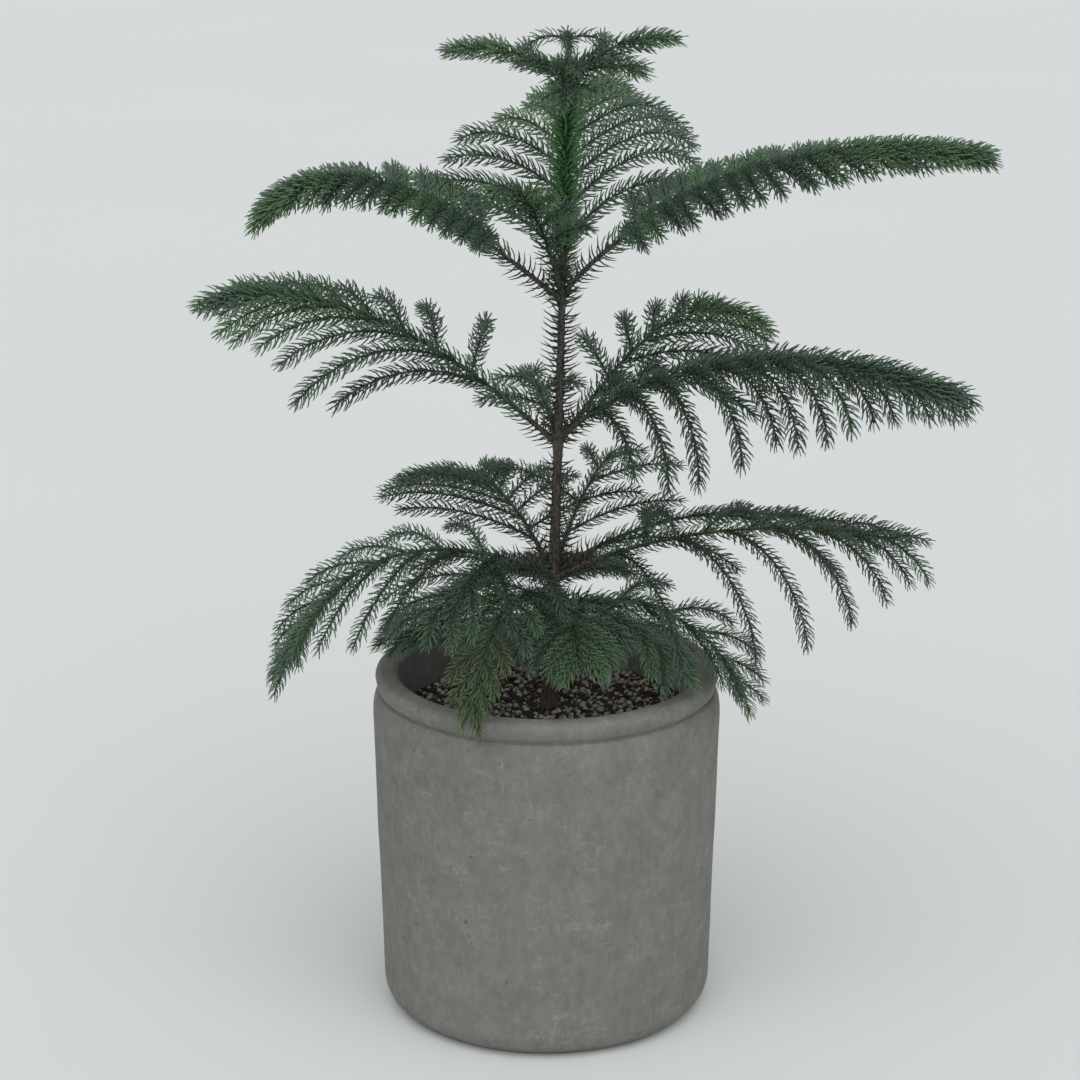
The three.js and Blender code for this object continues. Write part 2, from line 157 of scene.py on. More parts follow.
# How grains differ: their tilt in radians, the least and most of their size, width and uneven skin, the
# points of one, the shade in its pores, and the step between the seeds of two kinds
GRAIN = SimpleNamespace(
    tilt=0.7,
    size=(0.55, 1.35),
    width=(0.75, 1.2),
    skin=(0.78, 1.12),
    points=20,
    pores=0.45,
    seed_step=20,
)

# A bough has its azimuth from +X, its length, the slope it leaves the leader with, the slope at its tip,
# how late it bends, its longest twig, how far a twig hangs over, how much steeper and how much longer its
# front twigs are than its back ones, where its twigs begin, how wide their usual gap is, how much wider than
# usual they open, and how much steeper than usual they rise. A tier has its height, the radius and length of
# its bare limbs, the length of its needles, how far apart its twigs stand, and its boughs.
FIELDS = "azimuth length rise tip bend span droop bank lop first gap spread lift"
Bough = namedtuple("Bough", FIELDS, defaults=(0, 0, 0, 1, 1, 0))
Tier = namedtuple("Tier", "height limb_radius bare needle finer boughs")

TIERS = [
    Tier(0.2160, 0.00125, 0.019, 0.0078, 0.62, [
        Bough(198, 0.090, 22, -40, 1.0, 0.050, 46, gap=0.8),
        Bough(248, 0.134, 30, -96, 1.5, 0.038, 44, gap=1.4),
        Bough(280, 0.084, 24, -44, 1.2, 0.048, 60, gap=0.7),
        Bough(318, 0.092, 20, -60, 1.2, 0.050, 66, gap=1.7),
        Bough(345, 0.122, 18, -78, 1.3, 0.060, 54, bank=-6, gap=2.0),
        Bough(90, 0.100, 18, -36, 1.0, 0.064, 52),
    ]),
    Tier(0.2310, 0.0015, 0.024, 0.0072, 1.1, [
        Bough(116, 0.108, 40, -6, 1.0, 0.088, 46, lop=0.1, gap=0.6),
        Bough(24, 0.168, 30.5, -26, 0.9, 0.084, 66, bank=6, lop=0.3, gap=2.3),
        Bough(350, 0.188, 32, -10, 0.8, 0.094, 96, bank=-6, lop=0.2, first=0.032, gap=1.4),
        Bough(194, 0.166, 24, -90, 1.7, 0.080, 56, lop=0.2, gap=0.9),
        Bough(230, 0.108, 32, -40, 1.1, 0.066, 58),
        Bough(70, 0.108, 44, 0, 1.0, 0.072, 44, gap=1.6),
    ]),
    Tier(0.3026, 0.0015, 0.018, 0.0088, 0.85, [
        Bough(163, 0.195, 38, -11, 1.7, 0.082, 64, bank=-5, lop=0.28, first=0.044, gap=1.25, lift=4),
        Bough(346, 0.214, 45.5, -20, 0.8, 0.082, 112, lop=0.1, gap=1.0),
        Bough(40, 0.134, 42, -20, 2.4, 0.068, 62, bank=-6, lop=0.3, first=0.030, gap=1.3),
        Bough(102, 0.092, 26, -10, 1.0, 0.044, 50, first=0.026, gap=2.2),
    ]),
    Tier(0.3770, 0.00135, 0.030, 0.0090, 1.0, [
        Bough(180, 0.174, 38.5, -60, 3.0, 0.062, 28, first=0.044, gap=0.46, spread=1.7, lift=-10),
        Bough(2, 0.234, 52, -10, 0.8, 0.058, 28, first=0.042, gap=0.46, spread=1.7, lift=-13),
        Bough(87, 0.158, 55, 12, 1.0, 0.096, 74, lop=0.16, gap=0.95, lift=7),
        Bough(246, 0.082, 62, 38, 1.0, 0.044, 44, gap=0.7),
    ]),
    Tier(0.4856, 0.00095, 0.008, 0.0082, 0.9, [
        Bough(177, 0.063, 40, -14, 1.0, 0.030, 40, gap=0.8),
        Bough(8, 0.058, 42, -6, 1.0, 0.026, 40, gap=0.9),
        Bough(321, 0.051, 36, -18, 1.0, 0.022, 32),
        Bough(95, 0.050, 16, -24, 1.0, 0.024, 32),
        Bough(266, 0.036, 12, -40, 1.0, 0.020, 32),
    ]),
]

# Neighbouring boughs of a tier leave the leader a little above or below each other
STAGGER = 0.0012

# How twigs leave a stem, shorten towards its tip and hang. Those on the back start wider open than those on
# the front and close up sooner. A twig that would touch something is tried again at a share of its length.
TWIG = SimpleNamespace(
    first=0.003,
    end=0.007,
    open_angle=62,
    close_angle=36,
    back_opening=1.7,
    back_closing=0.9,
    back_until=0.6,
    widest=92,
    sway_angle=6,
    closing=-14,
    inner_length=0.8,
    inner_growth=2,
    shortening=0.78,
    late=1.5,
    length_sway=0.1,
    gap_sway=0.15,
    crowding=1.3,
    follow=0.6,
    lift=8,
    least_droop=0.45,
    more_droop=0.55,
    bend=1.3,
    minimum=0.010,
    cuts=(1, 0.72, 0.5),
    step=0.004,
    least_steps=6,
    sides=5,
)

# Needles along a shoot: short at its root, longer as it runs on, then shorter and leaning on at its tip
SHOOT = SimpleNamespace(
    root_needle=0.7,
    stem_needle=0.95,
    growing=0.030,
    closing=0.009,
    tip_shortening=0.3,
    tip_lean=18,
)

# What makes a spray lighter or darker, the light up to which it is deep or leaf green, and where it is olive
LIGHT = SimpleNamespace(
    least=0.15,
    outwards=0.45,
    upwards=0.12,
    chance=0.45,
    # Painted shade: the sprays of boughs that hang past hangs_past degrees are darkened, as they stand
    # against the light
    backlit_shade=-0.45,
    hangs_past=90,
    # Painted light: the front boughs of the lowest tier are lightened, as the light falls on their faces
    front=0.4,
    deep_until=0.55,
    leaf_until=1.0,
    olive_below=-90,
    olive_from=0.55,
)

# The small shoots under the leader's tip
CROWN = SimpleNamespace(
    height=0.505,
    length=0.024,
    rise=24,
    tip=-62,
    needle=0.0062,
    azimuths=(184, 4, 94, 274),
    steps=8,
)

# Stretches of the leader that carry needles: where each starts and ends, the needles' length, the distance
# between them along the leader, their tint, and the mass of the frame that they stand for
SLEEVES = [
    (0.2360, 0.2960, 0.0085, 0.00046, "bronze", "trunk_needles_1"),
    (0.3060, 0.3720, 0.0100, 0.00046, "bronze", "trunk_needles_2"),
    (0.3720, 0.4000, 0.0100, 0.00034, "leaf", "trunk_needles_3"),
    (0.4000, 0.4860, 0.0116, 0.00020, "bright", "trunk_needles_3"),
    (0.4860, 0.5070, 0.0050, 0.00030, "leaf", "trunk_needles_3"),
]

# Needles of the leader lean on and shorten at its tip, and bronze ones droop
SLEEVE = SimpleNamespace(
    step=0.003,
    closing=0.02,
    tip_lean=24,
    tip_shortening=0.35,
    bronze_droop=6,
)

# Each kind of needle: its width as a share of its length, how far it leans from its shoot, how far it curls
# back in, and how blunt it is
NEEDLES = {
    "soft": (0.102, 68, 54, 0.84),
    "fine": (0.082, 62, 48, 0.80),
    "spine": (0.102, 80, 40, 0.45),
}

# Places along a needle, and how much of its curl it has at each
NEEDLE_PLACES = np.array([0, 0.4, 0.8, 1.0])
NEEDLE_CURL = np.array([0, 0.2, 0.6, 0.9])

# How the needles of a coat differ: spin and lean in radians, and length. They root inside the shoot's skin,
# and each coat has a seed of its own.
COAT = SimpleNamespace(
    spin=0.2,
    lean=0.12,
    length=(0.90, 1.08),
    root=0.8,
    seed_step=10,
)

# One twig to be: where it leaves its stem, its length, 1 on the front or -1 on the back, the hand it turns
# to, its sway, and its number
Twig = namedtuple("Twig", "run share span face hand sway key")

# One shoot: places along it, with its girth and the length and lean of its needles at each of them
GROWTH = ("girth", "reach", "lean")
Strand = namedtuple("Strand", ("points", *GROWTH, "tint"))

# Tints of the tiers' needles. The deep one also carries painted shade, and the fresh one painted light,
# because spray_tint deals them by how much light a spray gets
TINTS = ("deep", "leaf", "fresh", "olive")


def tone(code):
    """Scene-linear colour from a six-figure hexadecimal code."""
    parts = [int(code[i:i + 2], 16) / 255 for i in (0, 2, 4)]
    return tuple(c / 12.92 if c <= 0.04045 else ((c + 0.055) / 1.055) ** 2.4 for c in parts)


def length_prop(name, description, default):
    """A size in metres for the sidebar."""
    return FloatProperty(
        name=name, description=description, default=default, min=0, precision=5, unit="LENGTH",
    )


def number_prop(name, description, default, unit="NONE"):
    """A number for the sidebar, plain or with a unit."""
    return FloatProperty(name=name, description=description, default=default, unit=unit)


def angle_prop(name, description, degrees):
    """An angle for the sidebar."""
    return FloatProperty(name=name, description=description, default=math.radians(degrees), subtype="ANGLE")


def place_prop(name, description, default):
    """A place or a direction for the sidebar."""
    return FloatVectorProperty(name=name, description=description, default=default, subtype="XYZ")


def colour_prop(name, description, code):
    """A colour for the sidebar."""
    return FloatVectorProperty(
        name=name, description=description, default=tone(code), min=0, max=1, subtype="COLOR",
    )


class PotSettings(PropertyGroup):
    """Sizes and colours of the cement pot."""

    height: length_prop("Height", "From the floor to the top of the rim", POT_HEIGHT)
    radius: length_prop("Radius", "Widest radius, just under the shoulder", POT_RADIUS)
    foot_radius: length_prop("Foot radius", "Radius where the wall meets its rounded foot", 0.086)
    foot_round: length_prop("Foot round", "Radius of the rounded bottom edge", 0.013)
    shoulder: length_prop("Shoulder", "Height where the wall turns in to the groove", 0.158)
    groove_radius: length_prop("Groove radius", "Radius at the bottom of the groove", 0.0857)
    groove_height: length_prop("Groove height", "Height of the groove under the collar", 0.172)
    collar_radius: length_prop("Collar radius", "Outer radius of the collar", 0.0885)
    collar_round: length_prop("Collar round", "Radius of the collar's rounded edges", 0.004)
    rim_radius: length_prop("Rim radius", "Inner radius at the rim", 0.0766)
    well_radius: length_prop("Well radius", "Inner radius at the floor of the pot", 0.072)
    floor: length_prop("Floor", "Thickness of the pot's floor", 0.014)
    unevenness: length_prop("Unevenness", "How far the cast wall strays from true", 0.0003)
    cement: colour_prop("Cement", "Main grey of the cement", "7f7e79")
    warm: colour_prop("Warm", "Warm patches", "867e73")
    mossy: colour_prop("Mossy", "Greenish patches", "73766d")
    scuff: colour_prop("Scuff", "Pale scuffs and dust", "a09f99")
    pit: colour_prop("Pit", "Air holes and stains", "4c4b47")


class SoilSettings(PropertyGroup):
    """Potting mix and its grit."""

    roughness: length_prop("Roughness", "Height of the lumps in the mix", 0.0016)
    dish: length_prop("Dish", "Fall of the surface at the wall", 0.0025)
    mix: colour_prop("Mix", "Damp potting mix", "211d19")
    crumb: colour_prop("Crumb", "Dry crumbs of the mix", "3d362f")
    pumice: colour_prop("Pumice", "Pale pumice grit", "cfcac0")
    buff: colour_prop("Buff", "Tan pumice grit", "a3968a")
    chip: colour_prop("Chip", "Chips of bark", "3f3127")
    seed: IntProperty(name="Seed", description="Scatter of the grit", default=7, min=0)


class BarkSettings(PropertyGroup):
    """Bark of the leader and boughs."""

    relief: length_prop("Relief", "Depth of the furrows and leaf cushions", 0.00035)
    old: colour_prop("Old", "Bark near the foot", "66554c")
    mid: colour_prop("Mid", "Bark half way up", "545047")
    young: colour_prop("Young", "Bark of the top growth", "4a8050")
    furrow: colour_prop("Furrow", "Bottom of the furrows", "2b2320")


class FoliageSettings(PropertyGroup):
    """Twigs and needles."""

    inner_gap: length_prop("Inner gap", "Between twigs on one side, near the leader", 0.022)
    outer_gap: length_prop("Outer gap", "Between twigs on one side, near the tip", 0.0072)
    twig_root: length_prop("Twig root", "Radius of a twig at its root", 0.00075)
    twig_tip: length_prop("Twig tip", "Radius of a twig at its tip", 0.0004)
    needle_gap: length_prop("Needle gap", "Along a twig from one needle to the next", 0.00050)
    fine_gap: length_prop("Fine gap", "Between the fine needles of the lowest tier", 0.00040)
    spine_gap: length_prop("Spine gap", "Along a bare limb from one needle to the next", 0.0007)
    twig: colour_prop("Twig", "Skin of the twigs", "3d4a2c")
    deep: colour_prop("Deep", "Old shaded needles", "495c4e")
    leaf: colour_prop("Leaf", "Most needles", "5d7561")
    # The fresh tint is both young growth and painted light: the most lit sprays get it
    fresh: colour_prop("Fresh", "Young needles", "658460")
    bright: colour_prop("Bright", "Needles on the top of the leader", "5f8a5c")
    olive: colour_prop("Olive", "Yellowish needles of the lowest tips", "5f734e")
    bronze: colour_prop("Bronze", "Needles drying on the leader", "484e40")
    seed: IntProperty(name="Seed", description="Spin and length of the needles", default=11, min=0)


class StageSettings(PropertyGroup):
    """Floor, light and camera."""

    floor: colour_prop("Floor", "Plain pale floor", "e7eae9")
    sky: colour_prop("Sky", "Soft light from all round", "eef1f2")
    sky_strength: number_prop("Sky strength", "Brightness of the soft light", 0.60)
    sun_strength: number_prop("Sun strength", "Brightness of the main light", 1.25)
    sun_angle: angle_prop("Sun angle", "How soft the main light is", 70)
    sun_way: place_prop("Sun way", "Which way the main light shines", (-0.05, 0.68, -1))
    eye: place_prop("Eye", "Where the camera stands", (-0.0034, -1.465, 0.7014))
    pitch: angle_prop("Pitch", "Camera tilt from straight down", 72.9)
    lens: number_prop("Lens", "Focal length in millimetres", 100, unit="CAMERA")
    sensor: number_prop("Sensor", "Width of the camera's sensor in millimetres", 36, unit="CAMERA")


class PineSettings(PropertyGroup):
    """All settings of the plant and its stage."""

    pot: PointerProperty(type=PotSettings)
    soil: PointerProperty(type=SoilSettings)
    bark: PointerProperty(type=BarkSettings)
    foliage: PointerProperty(type=FoliageSettings)
    stage: PointerProperty(type=StageSettings)


class Socket:
    """An output of a node. Sums on values are written as Python and add Math nodes."""

    def __init__(self, graph, output):
        self.graph = graph
        self.output = output

    def named(self, name):
        """Another output of the same node."""
        return Socket(self.graph, self.output.node.outputs[name])

    def math(self, operation, first, second):
        """A Math node on two values."""
        return self.graph.add("ShaderNodeMath", {"operation": operation}, {0: first, 1: second})

    def __add__(self, other):
        return self.math("ADD", self, other)

    def __sub__(self, other):
        return self.math("SUBTRACT", self, other)

    def __rsub__(self, other):
        return self.math("SUBTRACT", other, self)

    def __mul__(self, other):
        return self.math("MULTIPLY", self, other)

    __radd__ = __add__
    __rmul__ = __mul__


class Graph:
    """Adds nodes to one tree and links them. Sockets that share a name with others go by number."""

    def __init__(self, tree):
        self.tree = tree

    def feed(self, node, sockets):
        """Sets or links a node's inputs by name or number."""
        for key, value in sockets.items():
            if isinstance(value, Socket):
                self.tree.links.new(value.output, node.inputs[key])
            else:
                node.inputs[key].default_value = value

    def add(self, kind, settings=None, sockets=None, out=0):
        """A new node of a kind, its settings first and then its inputs. Returns one output."""
        node = self.tree.nodes.new(kind)
        for name, value in (settings or {}).items():
            setattr(node, name, value)
        self.feed(node, sockets or {})
        return Socket(self, node.outputs[out])

    def random(self, low, high, seed):
        """A random value for each point."""
        return self.add("FunctionNodeRandomValue", {"data_type": "FLOAT"}, {2: low, 3: high, 8: seed}, out=1)

    def attribute(self, name):
        """A value that each point carries."""
        return self.add("GeometryNodeInputNamedAttribute", {"data_type": "FLOAT"}, {"Name": name})

    def spun(self, rotation, axis, angle):
        """A rotation turned about one of its own axes."""
        turn = self.add("FunctionNodeAxisAngleToRotation", {}, {"Axis": axis, "Angle": angle})
        settings = {"rotation_space": "LOCAL"}
        return self.add("FunctionNodeRotateRotation", settings, {"Rotation": rotation, "Rotate By": turn})

    def noise(self, place, scale, detail=3.0, roughness=0.55):
        """Cloudy values about a half, with a number of waves to the metre."""
        sockets = {"Vector": place, "Scale": scale, "Detail": detail, "Roughness": roughness}
        return self.add("ShaderNodeTexNoise", {}, sockets)

    def mask(self, value, low, high):
        """Runs from 0 to 1 as a value goes from low to high."""
        settings = {"interpolation_type": "SMOOTHSTEP"}
        return self.add("ShaderNodeMapRange", settings, {"Value": value, "From Min": low, "From Max": high})

    def mix(self, share, first, second):
        """A colour between two others."""
        first, second = (c if isinstance(c, Socket) else (*c, 1) for c in (first, second))
        return self.add("ShaderNodeMix", {"data_type": "RGBA"}, {0: share, 6: first, 7: second}, out=2)

    def shade(self, colour, value):
        """A colour made lighter or darker by a value about 1."""
        settings = {"data_type": "RGBA", "blend_type": "MULTIPLY"}
        grey = self.add("ShaderNodeCombineColor", {}, {0: value, 1: value, 2: value})
        colour = colour if isinstance(colour, Socket) else (*colour, 1)
        return self.add("ShaderNodeMix", settings, {0: 1.0, 6: colour, 7: grey}, out=2)


def begin_material(name):
    """A new material, its graph, its shader and the Object coordinates of the surface."""
    material = bpy.data.materials.new(name)
    material.use_nodes = True
    graph = Graph(material.node_tree)
    shader = material.node_tree.nodes["Principled BSDF"]
    place = graph.add("ShaderNodeTexCoord", out="Object")
    return material, graph, shader, place


def stretched(graph, place, scale):
    """Coordinates scaled by a different amount along each axis."""
    return graph.add("ShaderNodeMapping", {}, {"Vector": place, "Scale": scale})


def bumped(graph, height, strength, distance):
    """A normal that follows a height."""
    return graph.add("ShaderNodeBump", {}, {"Height": height, "Strength": strength, "Distance": distance})


def cement_material(pot):
    """Cast cement: cloudy greys, faint trowel strokes, pale flecks, sandy grain and a few air holes."""
    material, graph, shader, place = begin_material("cast_cement")
    clouds = graph.mask(graph.noise(place, 15), 0.46, 0.66)
    moss = graph.mask(graph.noise(stretched(graph, place, (9, 9, 14)), 1.0), 0.48, 0.70)
    mottle = graph.noise(place, 70, detail=8, roughness=0.72)
    blotch = graph.noise(stretched(graph, place, (260, 260, 150)), 1.0, detail=4, roughness=0.65)
    grain = graph.noise(place, 1500, detail=2)
    level = graph.noise(stretched(graph, place, (90, 90, 420)), 1.0, detail=3, roughness=0.6)
    upright = graph.noise(stretched(graph, place, (520, 520, 90)), 1.0, detail=3, roughness=0.6)
    patchy = graph.mask(graph.noise(place, 42, detail=4, roughness=0.7), 0.42, 0.62)
    strokes = (graph.mask(level, 0.55, 0.68) + graph.mask(upright, 0.56, 0.68)) * patchy
    flecks = graph.mask(graph.noise(place, 520, detail=1), 0.62, 0.72) * patchy
    cells = {"Vector": place, "Scale": 150, "Randomness": 1.0}
    hole = graph.add("ShaderNodeTexVoronoi", {}, cells)
    rarity = graph.mask(graph.noise(place, 60, detail=2), 0.60, 0.70)
    pits = (1 - graph.mask(hole + blotch * 0.2, 0.16, 0.30)) * rarity
    colour = graph.mix(clouds * 0.32, pot.cement, pot.warm)
    colour = graph.mix(moss * 0.4, colour, pot.mossy)
    colour = graph.mix(strokes * 0.32 + flecks * 0.40, colour, pot.scuff)
    colour = graph.shade(colour, mottle * 0.80 + blotch * 0.55 + 0.31)
    colour = graph.mix(pits * 0.6, colour, pot.pit)
    height = grain * 0.35 + mottle * 0.6 + blotch * 0.25 - pits * 1.2
    normal = bumped(graph, height, 0.55, 0.0007)
    sockets = {"Base Color": colour, "Roughness": mottle * 0.16 + 0.78, "Normal": normal}
    graph.feed(shader, {**sockets, "Specular IOR Level": 0.35})
    return material


def soil_material(soil):
    """Damp dark mix with drier crumbs."""
    material, graph, shader, place = begin_material("potting_mix")
    lumps = graph.noise(place, 420, detail=6, roughness=0.7)
    colour = graph.mix(graph.mask(lumps, 0.46, 0.72), soil.mix, soil.crumb)
    normal = bumped(graph, lumps, 0.9, 0.0015)
    graph.feed(shader, {"Base Color": colour, "Roughness": lumps * 0.2 + 0.75, "Normal": normal})
    return material


def grit_material(name, colour, dark):
    """Porous grit: a base colour, darker in its pores."""
    material, graph, shader, place = begin_material(name)
    grain = graph.noise(place, 900, detail=4, roughness=0.7)
    broad = graph.noise(place, 150, detail=2)
    tint = graph.mix(graph.mask(grain, 0.35, 0.62), dark, colour)
    tint = graph.shade(tint, broad * 0.7 + 0.6)
    normal = bumped(graph, grain, 0.7, 0.0005)
    graph.feed(shader, {"Base Color": tint, "Roughness": grain * 0.15 + 0.8, "Normal": normal})
    return material


def bark_material(bark):
    """Bark that goes from brown at the foot to green at the top, darker in its furrows."""
    material, graph, shader, place = begin_material("bark")
    height = graph.add("ShaderNodeSeparateXYZ", {}, {0: place}, out="Z")
    low = graph.mask(height, *BROWN_HEIGHTS)
    high = graph.mask(height, *GREEN_HEIGHTS)
    fibres = graph.noise(stretched(graph, place, (900, 900, 160)), 1.0, detail=5, roughness=0.65)
    blotches = graph.noise(place, 130, detail=3)
    colour = graph.mix(low, bark.old, bark.mid)
    colour = graph.mix(high, colour, bark.young)
    colour = graph.mix(graph.mask(fibres, 0.58, 0.36) * 0.8, colour, bark.furrow)
    colour = graph.shade(colour, blotches * 0.6 + 0.7)
    normal = bumped(graph, fibres, 0.6, 0.0006)
    graph.feed(shader, {"Base Color": colour, "Roughness": fibres * 0.2 + 0.7, "Normal": normal})
    return material


def green_material(name, colour, roughness):
    """Skin of needles and twigs: one tint, a little lighter and darker along each of them."""
    material, graph, shader, place = begin_material(name)
    grain = graph.noise(place, 420, detail=2)
    graph.feed(shader, {"Base Color": graph.shade(colour, grain * 0.5 + 0.75), "Roughness": roughness})
    graph.feed(shader, {"Specular IOR Level": 0.45})
    return material


def floor_material(colour):
    """Pale floor with the faintest unevenness."""
    material, graph, shader, place = begin_material("pale_floor")
    haze = graph.noise(place, 1.3, detail=2)
    graph.feed(shader, {"Base Color": graph.shade(colour, haze * 0.04 + 0.98), "Roughness": 0.9})
    return material


def mesh_from(name, vertices, faces):
    """A mesh from arrays, its faces shaded smooth."""
    mesh = bpy.data.meshes.new(name)
    mesh.from_pydata(np.asarray(vertices).tolist(), [], faces)
    mesh.shade_smooth()
    mesh.update()
    return mesh


def linked(name, data):
    """A new object in the scene."""
    made = bpy.data.objects.new(name, data)
    bpy.context.scene.collection.objects.link(made)
    return made


def turns_of(count):
    """Angles that part a full turn evenly."""
    return 2 * math.pi * np.arange(count) / count


def circle(radius, height, turns):
    """Places round the Z axis at a height, each at the radius or at its own."""
    return np.stack([radius * np.cos(turns), radius * np.sin(turns), np.full(len(turns), height)], axis=1)


def band_faces(count, sides):
    """Faces between rings that follow each other."""
    faces = []
    for low in range(0, (count - 1) * sides, sides):
        high = low + sides
        for k in range(sides):
            beside = (k + 1) % sides
            faces.append((low + k, low + beside, high + beside, high + k))
    return faces


def loft(rings):
    """Vertices and faces of a closed skin over rings that run counter-clockwise about their path."""
    rings = np.asarray(rings)
    count, sides = rings.shape[:2]
    vertices = np.vstack([rings.reshape(-1, 3), rings[0].mean(axis=0), rings[-1].mean(axis=0)])
    foot, head = count * sides, count * sides + 1
    faces = band_faces(count, sides)
    for k in range(sides):
        beside = (k + 1) % sides
        faces.append((foot, beside, k))
        faces.append((head, foot - sides + k, foot - sides + beside))
    return vertices, faces


def joined(parts):
    """One list of vertices and faces from several."""
    vertices, faces, start = [], [], 0
    for points, quads in parts:
        vertices.append(points)
        faces.extend(tuple(start + v for v in face) for face in quads)
        start += len(points)
    return np.vstack(vertices), faces


def add_piece(name, mesh, material, nodes):
    """Puts a finished mesh in the scene in place of frame nodes."""
    if not mesh.polygons:
        raise RuntimeError(f"{name} came out with no faces")
    if material.name not in mesh.materials:
        mesh.materials.append(material)
    piece = linked(name, mesh)
    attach(piece, "root")
    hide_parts(*nodes)


def jitter(*keys, weights=(12.9898, 78.233, 37.719), start=1.7, stretch=43758.5453):
    """A repeatable number from -1 to 1 for each set of keys."""
    wave = math.sin(start + sum(key * weight for key, weight in zip(keys, weights))) * stretch
    return 2 * (wave - math.floor(wave)) - 1


def between(start, end, share):
    """A value part of the way from start to end."""
    return start + (end - start) * share


def leader_centre(height):
    """Centre of the leader at a height or at several."""
    height = np.asarray(height, float)
    rise = height - SOIL_TOP
    bow = LEADER.bow * np.sin(math.pi * rise / (TRUNK_TIP - SOIL_TOP))
    x = LEADER.foot_x + LEADER.lean * rise + bow
    return np.stack([x, np.zeros_like(x), height], axis=-1)


def leader_radius(height):
    """Radius of the leader: a taper, a flare at the foot and a swelling at each tier."""
    height = np.asarray(height, float)
    share = np.clip((height - TRUNK_FOOT) / (TRUNK_TIP - TRUNK_FOOT), 0, 1)
    radius = between(LEADER.foot_radius, LEADER.tip_radius, share ** LEADER.taper)
    radius = radius + LEADER.flare * np.exp(-(height - TRUNK_FOOT) / LEADER.flare_height)
    for tier in TIERS:
        off = (height - tier.height) / LEADER.swell_height
        radius = radius + LEADER.swell * (1 - LEADER.swell_thinning * share) * np.exp(-off * off)
    return radius


def walk(root, length, rise, tip, bend, heading=0.0, turn=0.0, steps=48):
    """Places and slopes along a shoot whose slope eases from rise to tip while its heading turns."""
    share = np.arange(steps + 1) / steps
    slope = rise + (tip - rise) * share ** bend
    tilt = np.radians(slope)
    bearing = np.radians(heading + turn * share)
    along = np.stack([np.cos(bearing) * np.cos(tilt), np.sin(bearing) * np.cos(tilt), np.sin(tilt)], axis=1)
    moves = np.vstack([np.zeros(3), along[:-1] * length / steps])
    return np.asarray(root) + np.cumsum(moves, axis=0), slope


def at_share(values, share):
    """Values along a shoot at shares of the way, between the places that were walked."""
    steps = np.linspace(0, 1, len(values))
    if values.ndim == 1:
        return np.interp(share, steps, values)
    return np.stack([np.interp(share, steps, column) for column in values.T], axis=-1)


def in_plant(tier, index, points):
    """Turns places in a bough's own frame, which points along +X, into the plant's."""
    angle = math.radians(tier.boughs[index].azimuth)
    cos, sin = math.cos(angle), math.sin(angle)
    turn = np.array([[cos, -sin, 0], [sin, cos, 0], [0, 0, 1]])
    lift = np.array([0, 0, -STAGGER if index % 2 == 0 else STAGGER])
    return points @ turn.T + leader_centre(tier.height) + lift


def bough_line(bough):
    """Places and slopes along a bough, in its own frame."""
    return walk((0, 0, 0), bough.length, bough.rise, bough.tip, bough.bend)


def along_bough(tier, index, shares):
    """Places at shares of a bough's length, in the plant's frame."""
    places, _ = bough_line(tier.boughs[index])
    return in_plant(tier, index, at_share(places, shares))


def is_clear(points, pot, margin=0.003, root_places=3):
    """True if a twig keeps off the pot, the soil and, past its root, the leader."""
    across = np.hypot(points[:, 0], points[:, 1])
    height = points[:, 2]
    in_pot = (height < pot.height + margin) & (across < pot.radius + margin)
    in_well = (height > SOIL_TOP + 2 * margin) & (across < pot.rim_radius - margin)
    from_leader = np.linalg.norm(points - leader_centre(height), axis=1)
    in_leader = from_leader < leader_radius(height) + margin
    return not np.any(in_pot & ~in_well) and not np.any(in_leader[root_places:])


def twig_plan(tier, bough, foliage):
    """Twigs on the front and back of a stem in turn, closer together and shorter towards its tip."""
    run = max(tier.bare, bough.first) + TWIG.first
    front = 1 if math.cos(math.radians(bough.azimuth)) < 0 else -1
    index = 0
    while run < bough.length - TWIG.end:
        share = (run - tier.bare) / (bough.length - tier.bare)
        sway = jitter(bough.azimuth, index, 1)
        face = 1 - 2 * (index % 2)
        inner = min(1, TWIG.inner_length + TWIG.inner_growth * share)
        outer = 1 - TWIG.shortening * share ** TWIG.late
        span = bough.span * inner * outer * (1 + TWIG.length_sway * sway) * (1 + bough.lop * face)
        if span > TWIG.minimum:
            yield Twig(run, share, span, face, face * front, sway, index)
        gap = tier.finer * bough.gap * between(foliage.inner_gap, foliage.outer_gap, share ** TWIG.crowding)
        # Front and back take turns, so one twig stands half a gap from the next
        run += 0.5 * gap * (1 + TWIG.gap_sway * jitter(bough.azimuth, index, 2))
        index += 1


def needled(points, root_girth, tip_girth, needle_length, tint, root_needle=SHOOT.root_needle):
    """A strand whose needles are short at its root and close up towards its tip."""
    steps = np.linalg.norm(np.diff(points, axis=0), axis=1)
    run = np.concatenate([[0], np.cumsum(steps)])
    left = run[-1] - run
    girth = between(root_girth, tip_girth, run / run[-1])
    grown = np.clip(root_needle + run / SHOOT.growing, 0, 1)
    closing = np.clip(1 - left / SHOOT.closing, 0, 1)
    reach = needle_length * grown * (1 - SHOOT.tip_shortening * closing)
    return Strand(points, girth, reach, math.radians(SHOOT.tip_lean) * closing, tint)


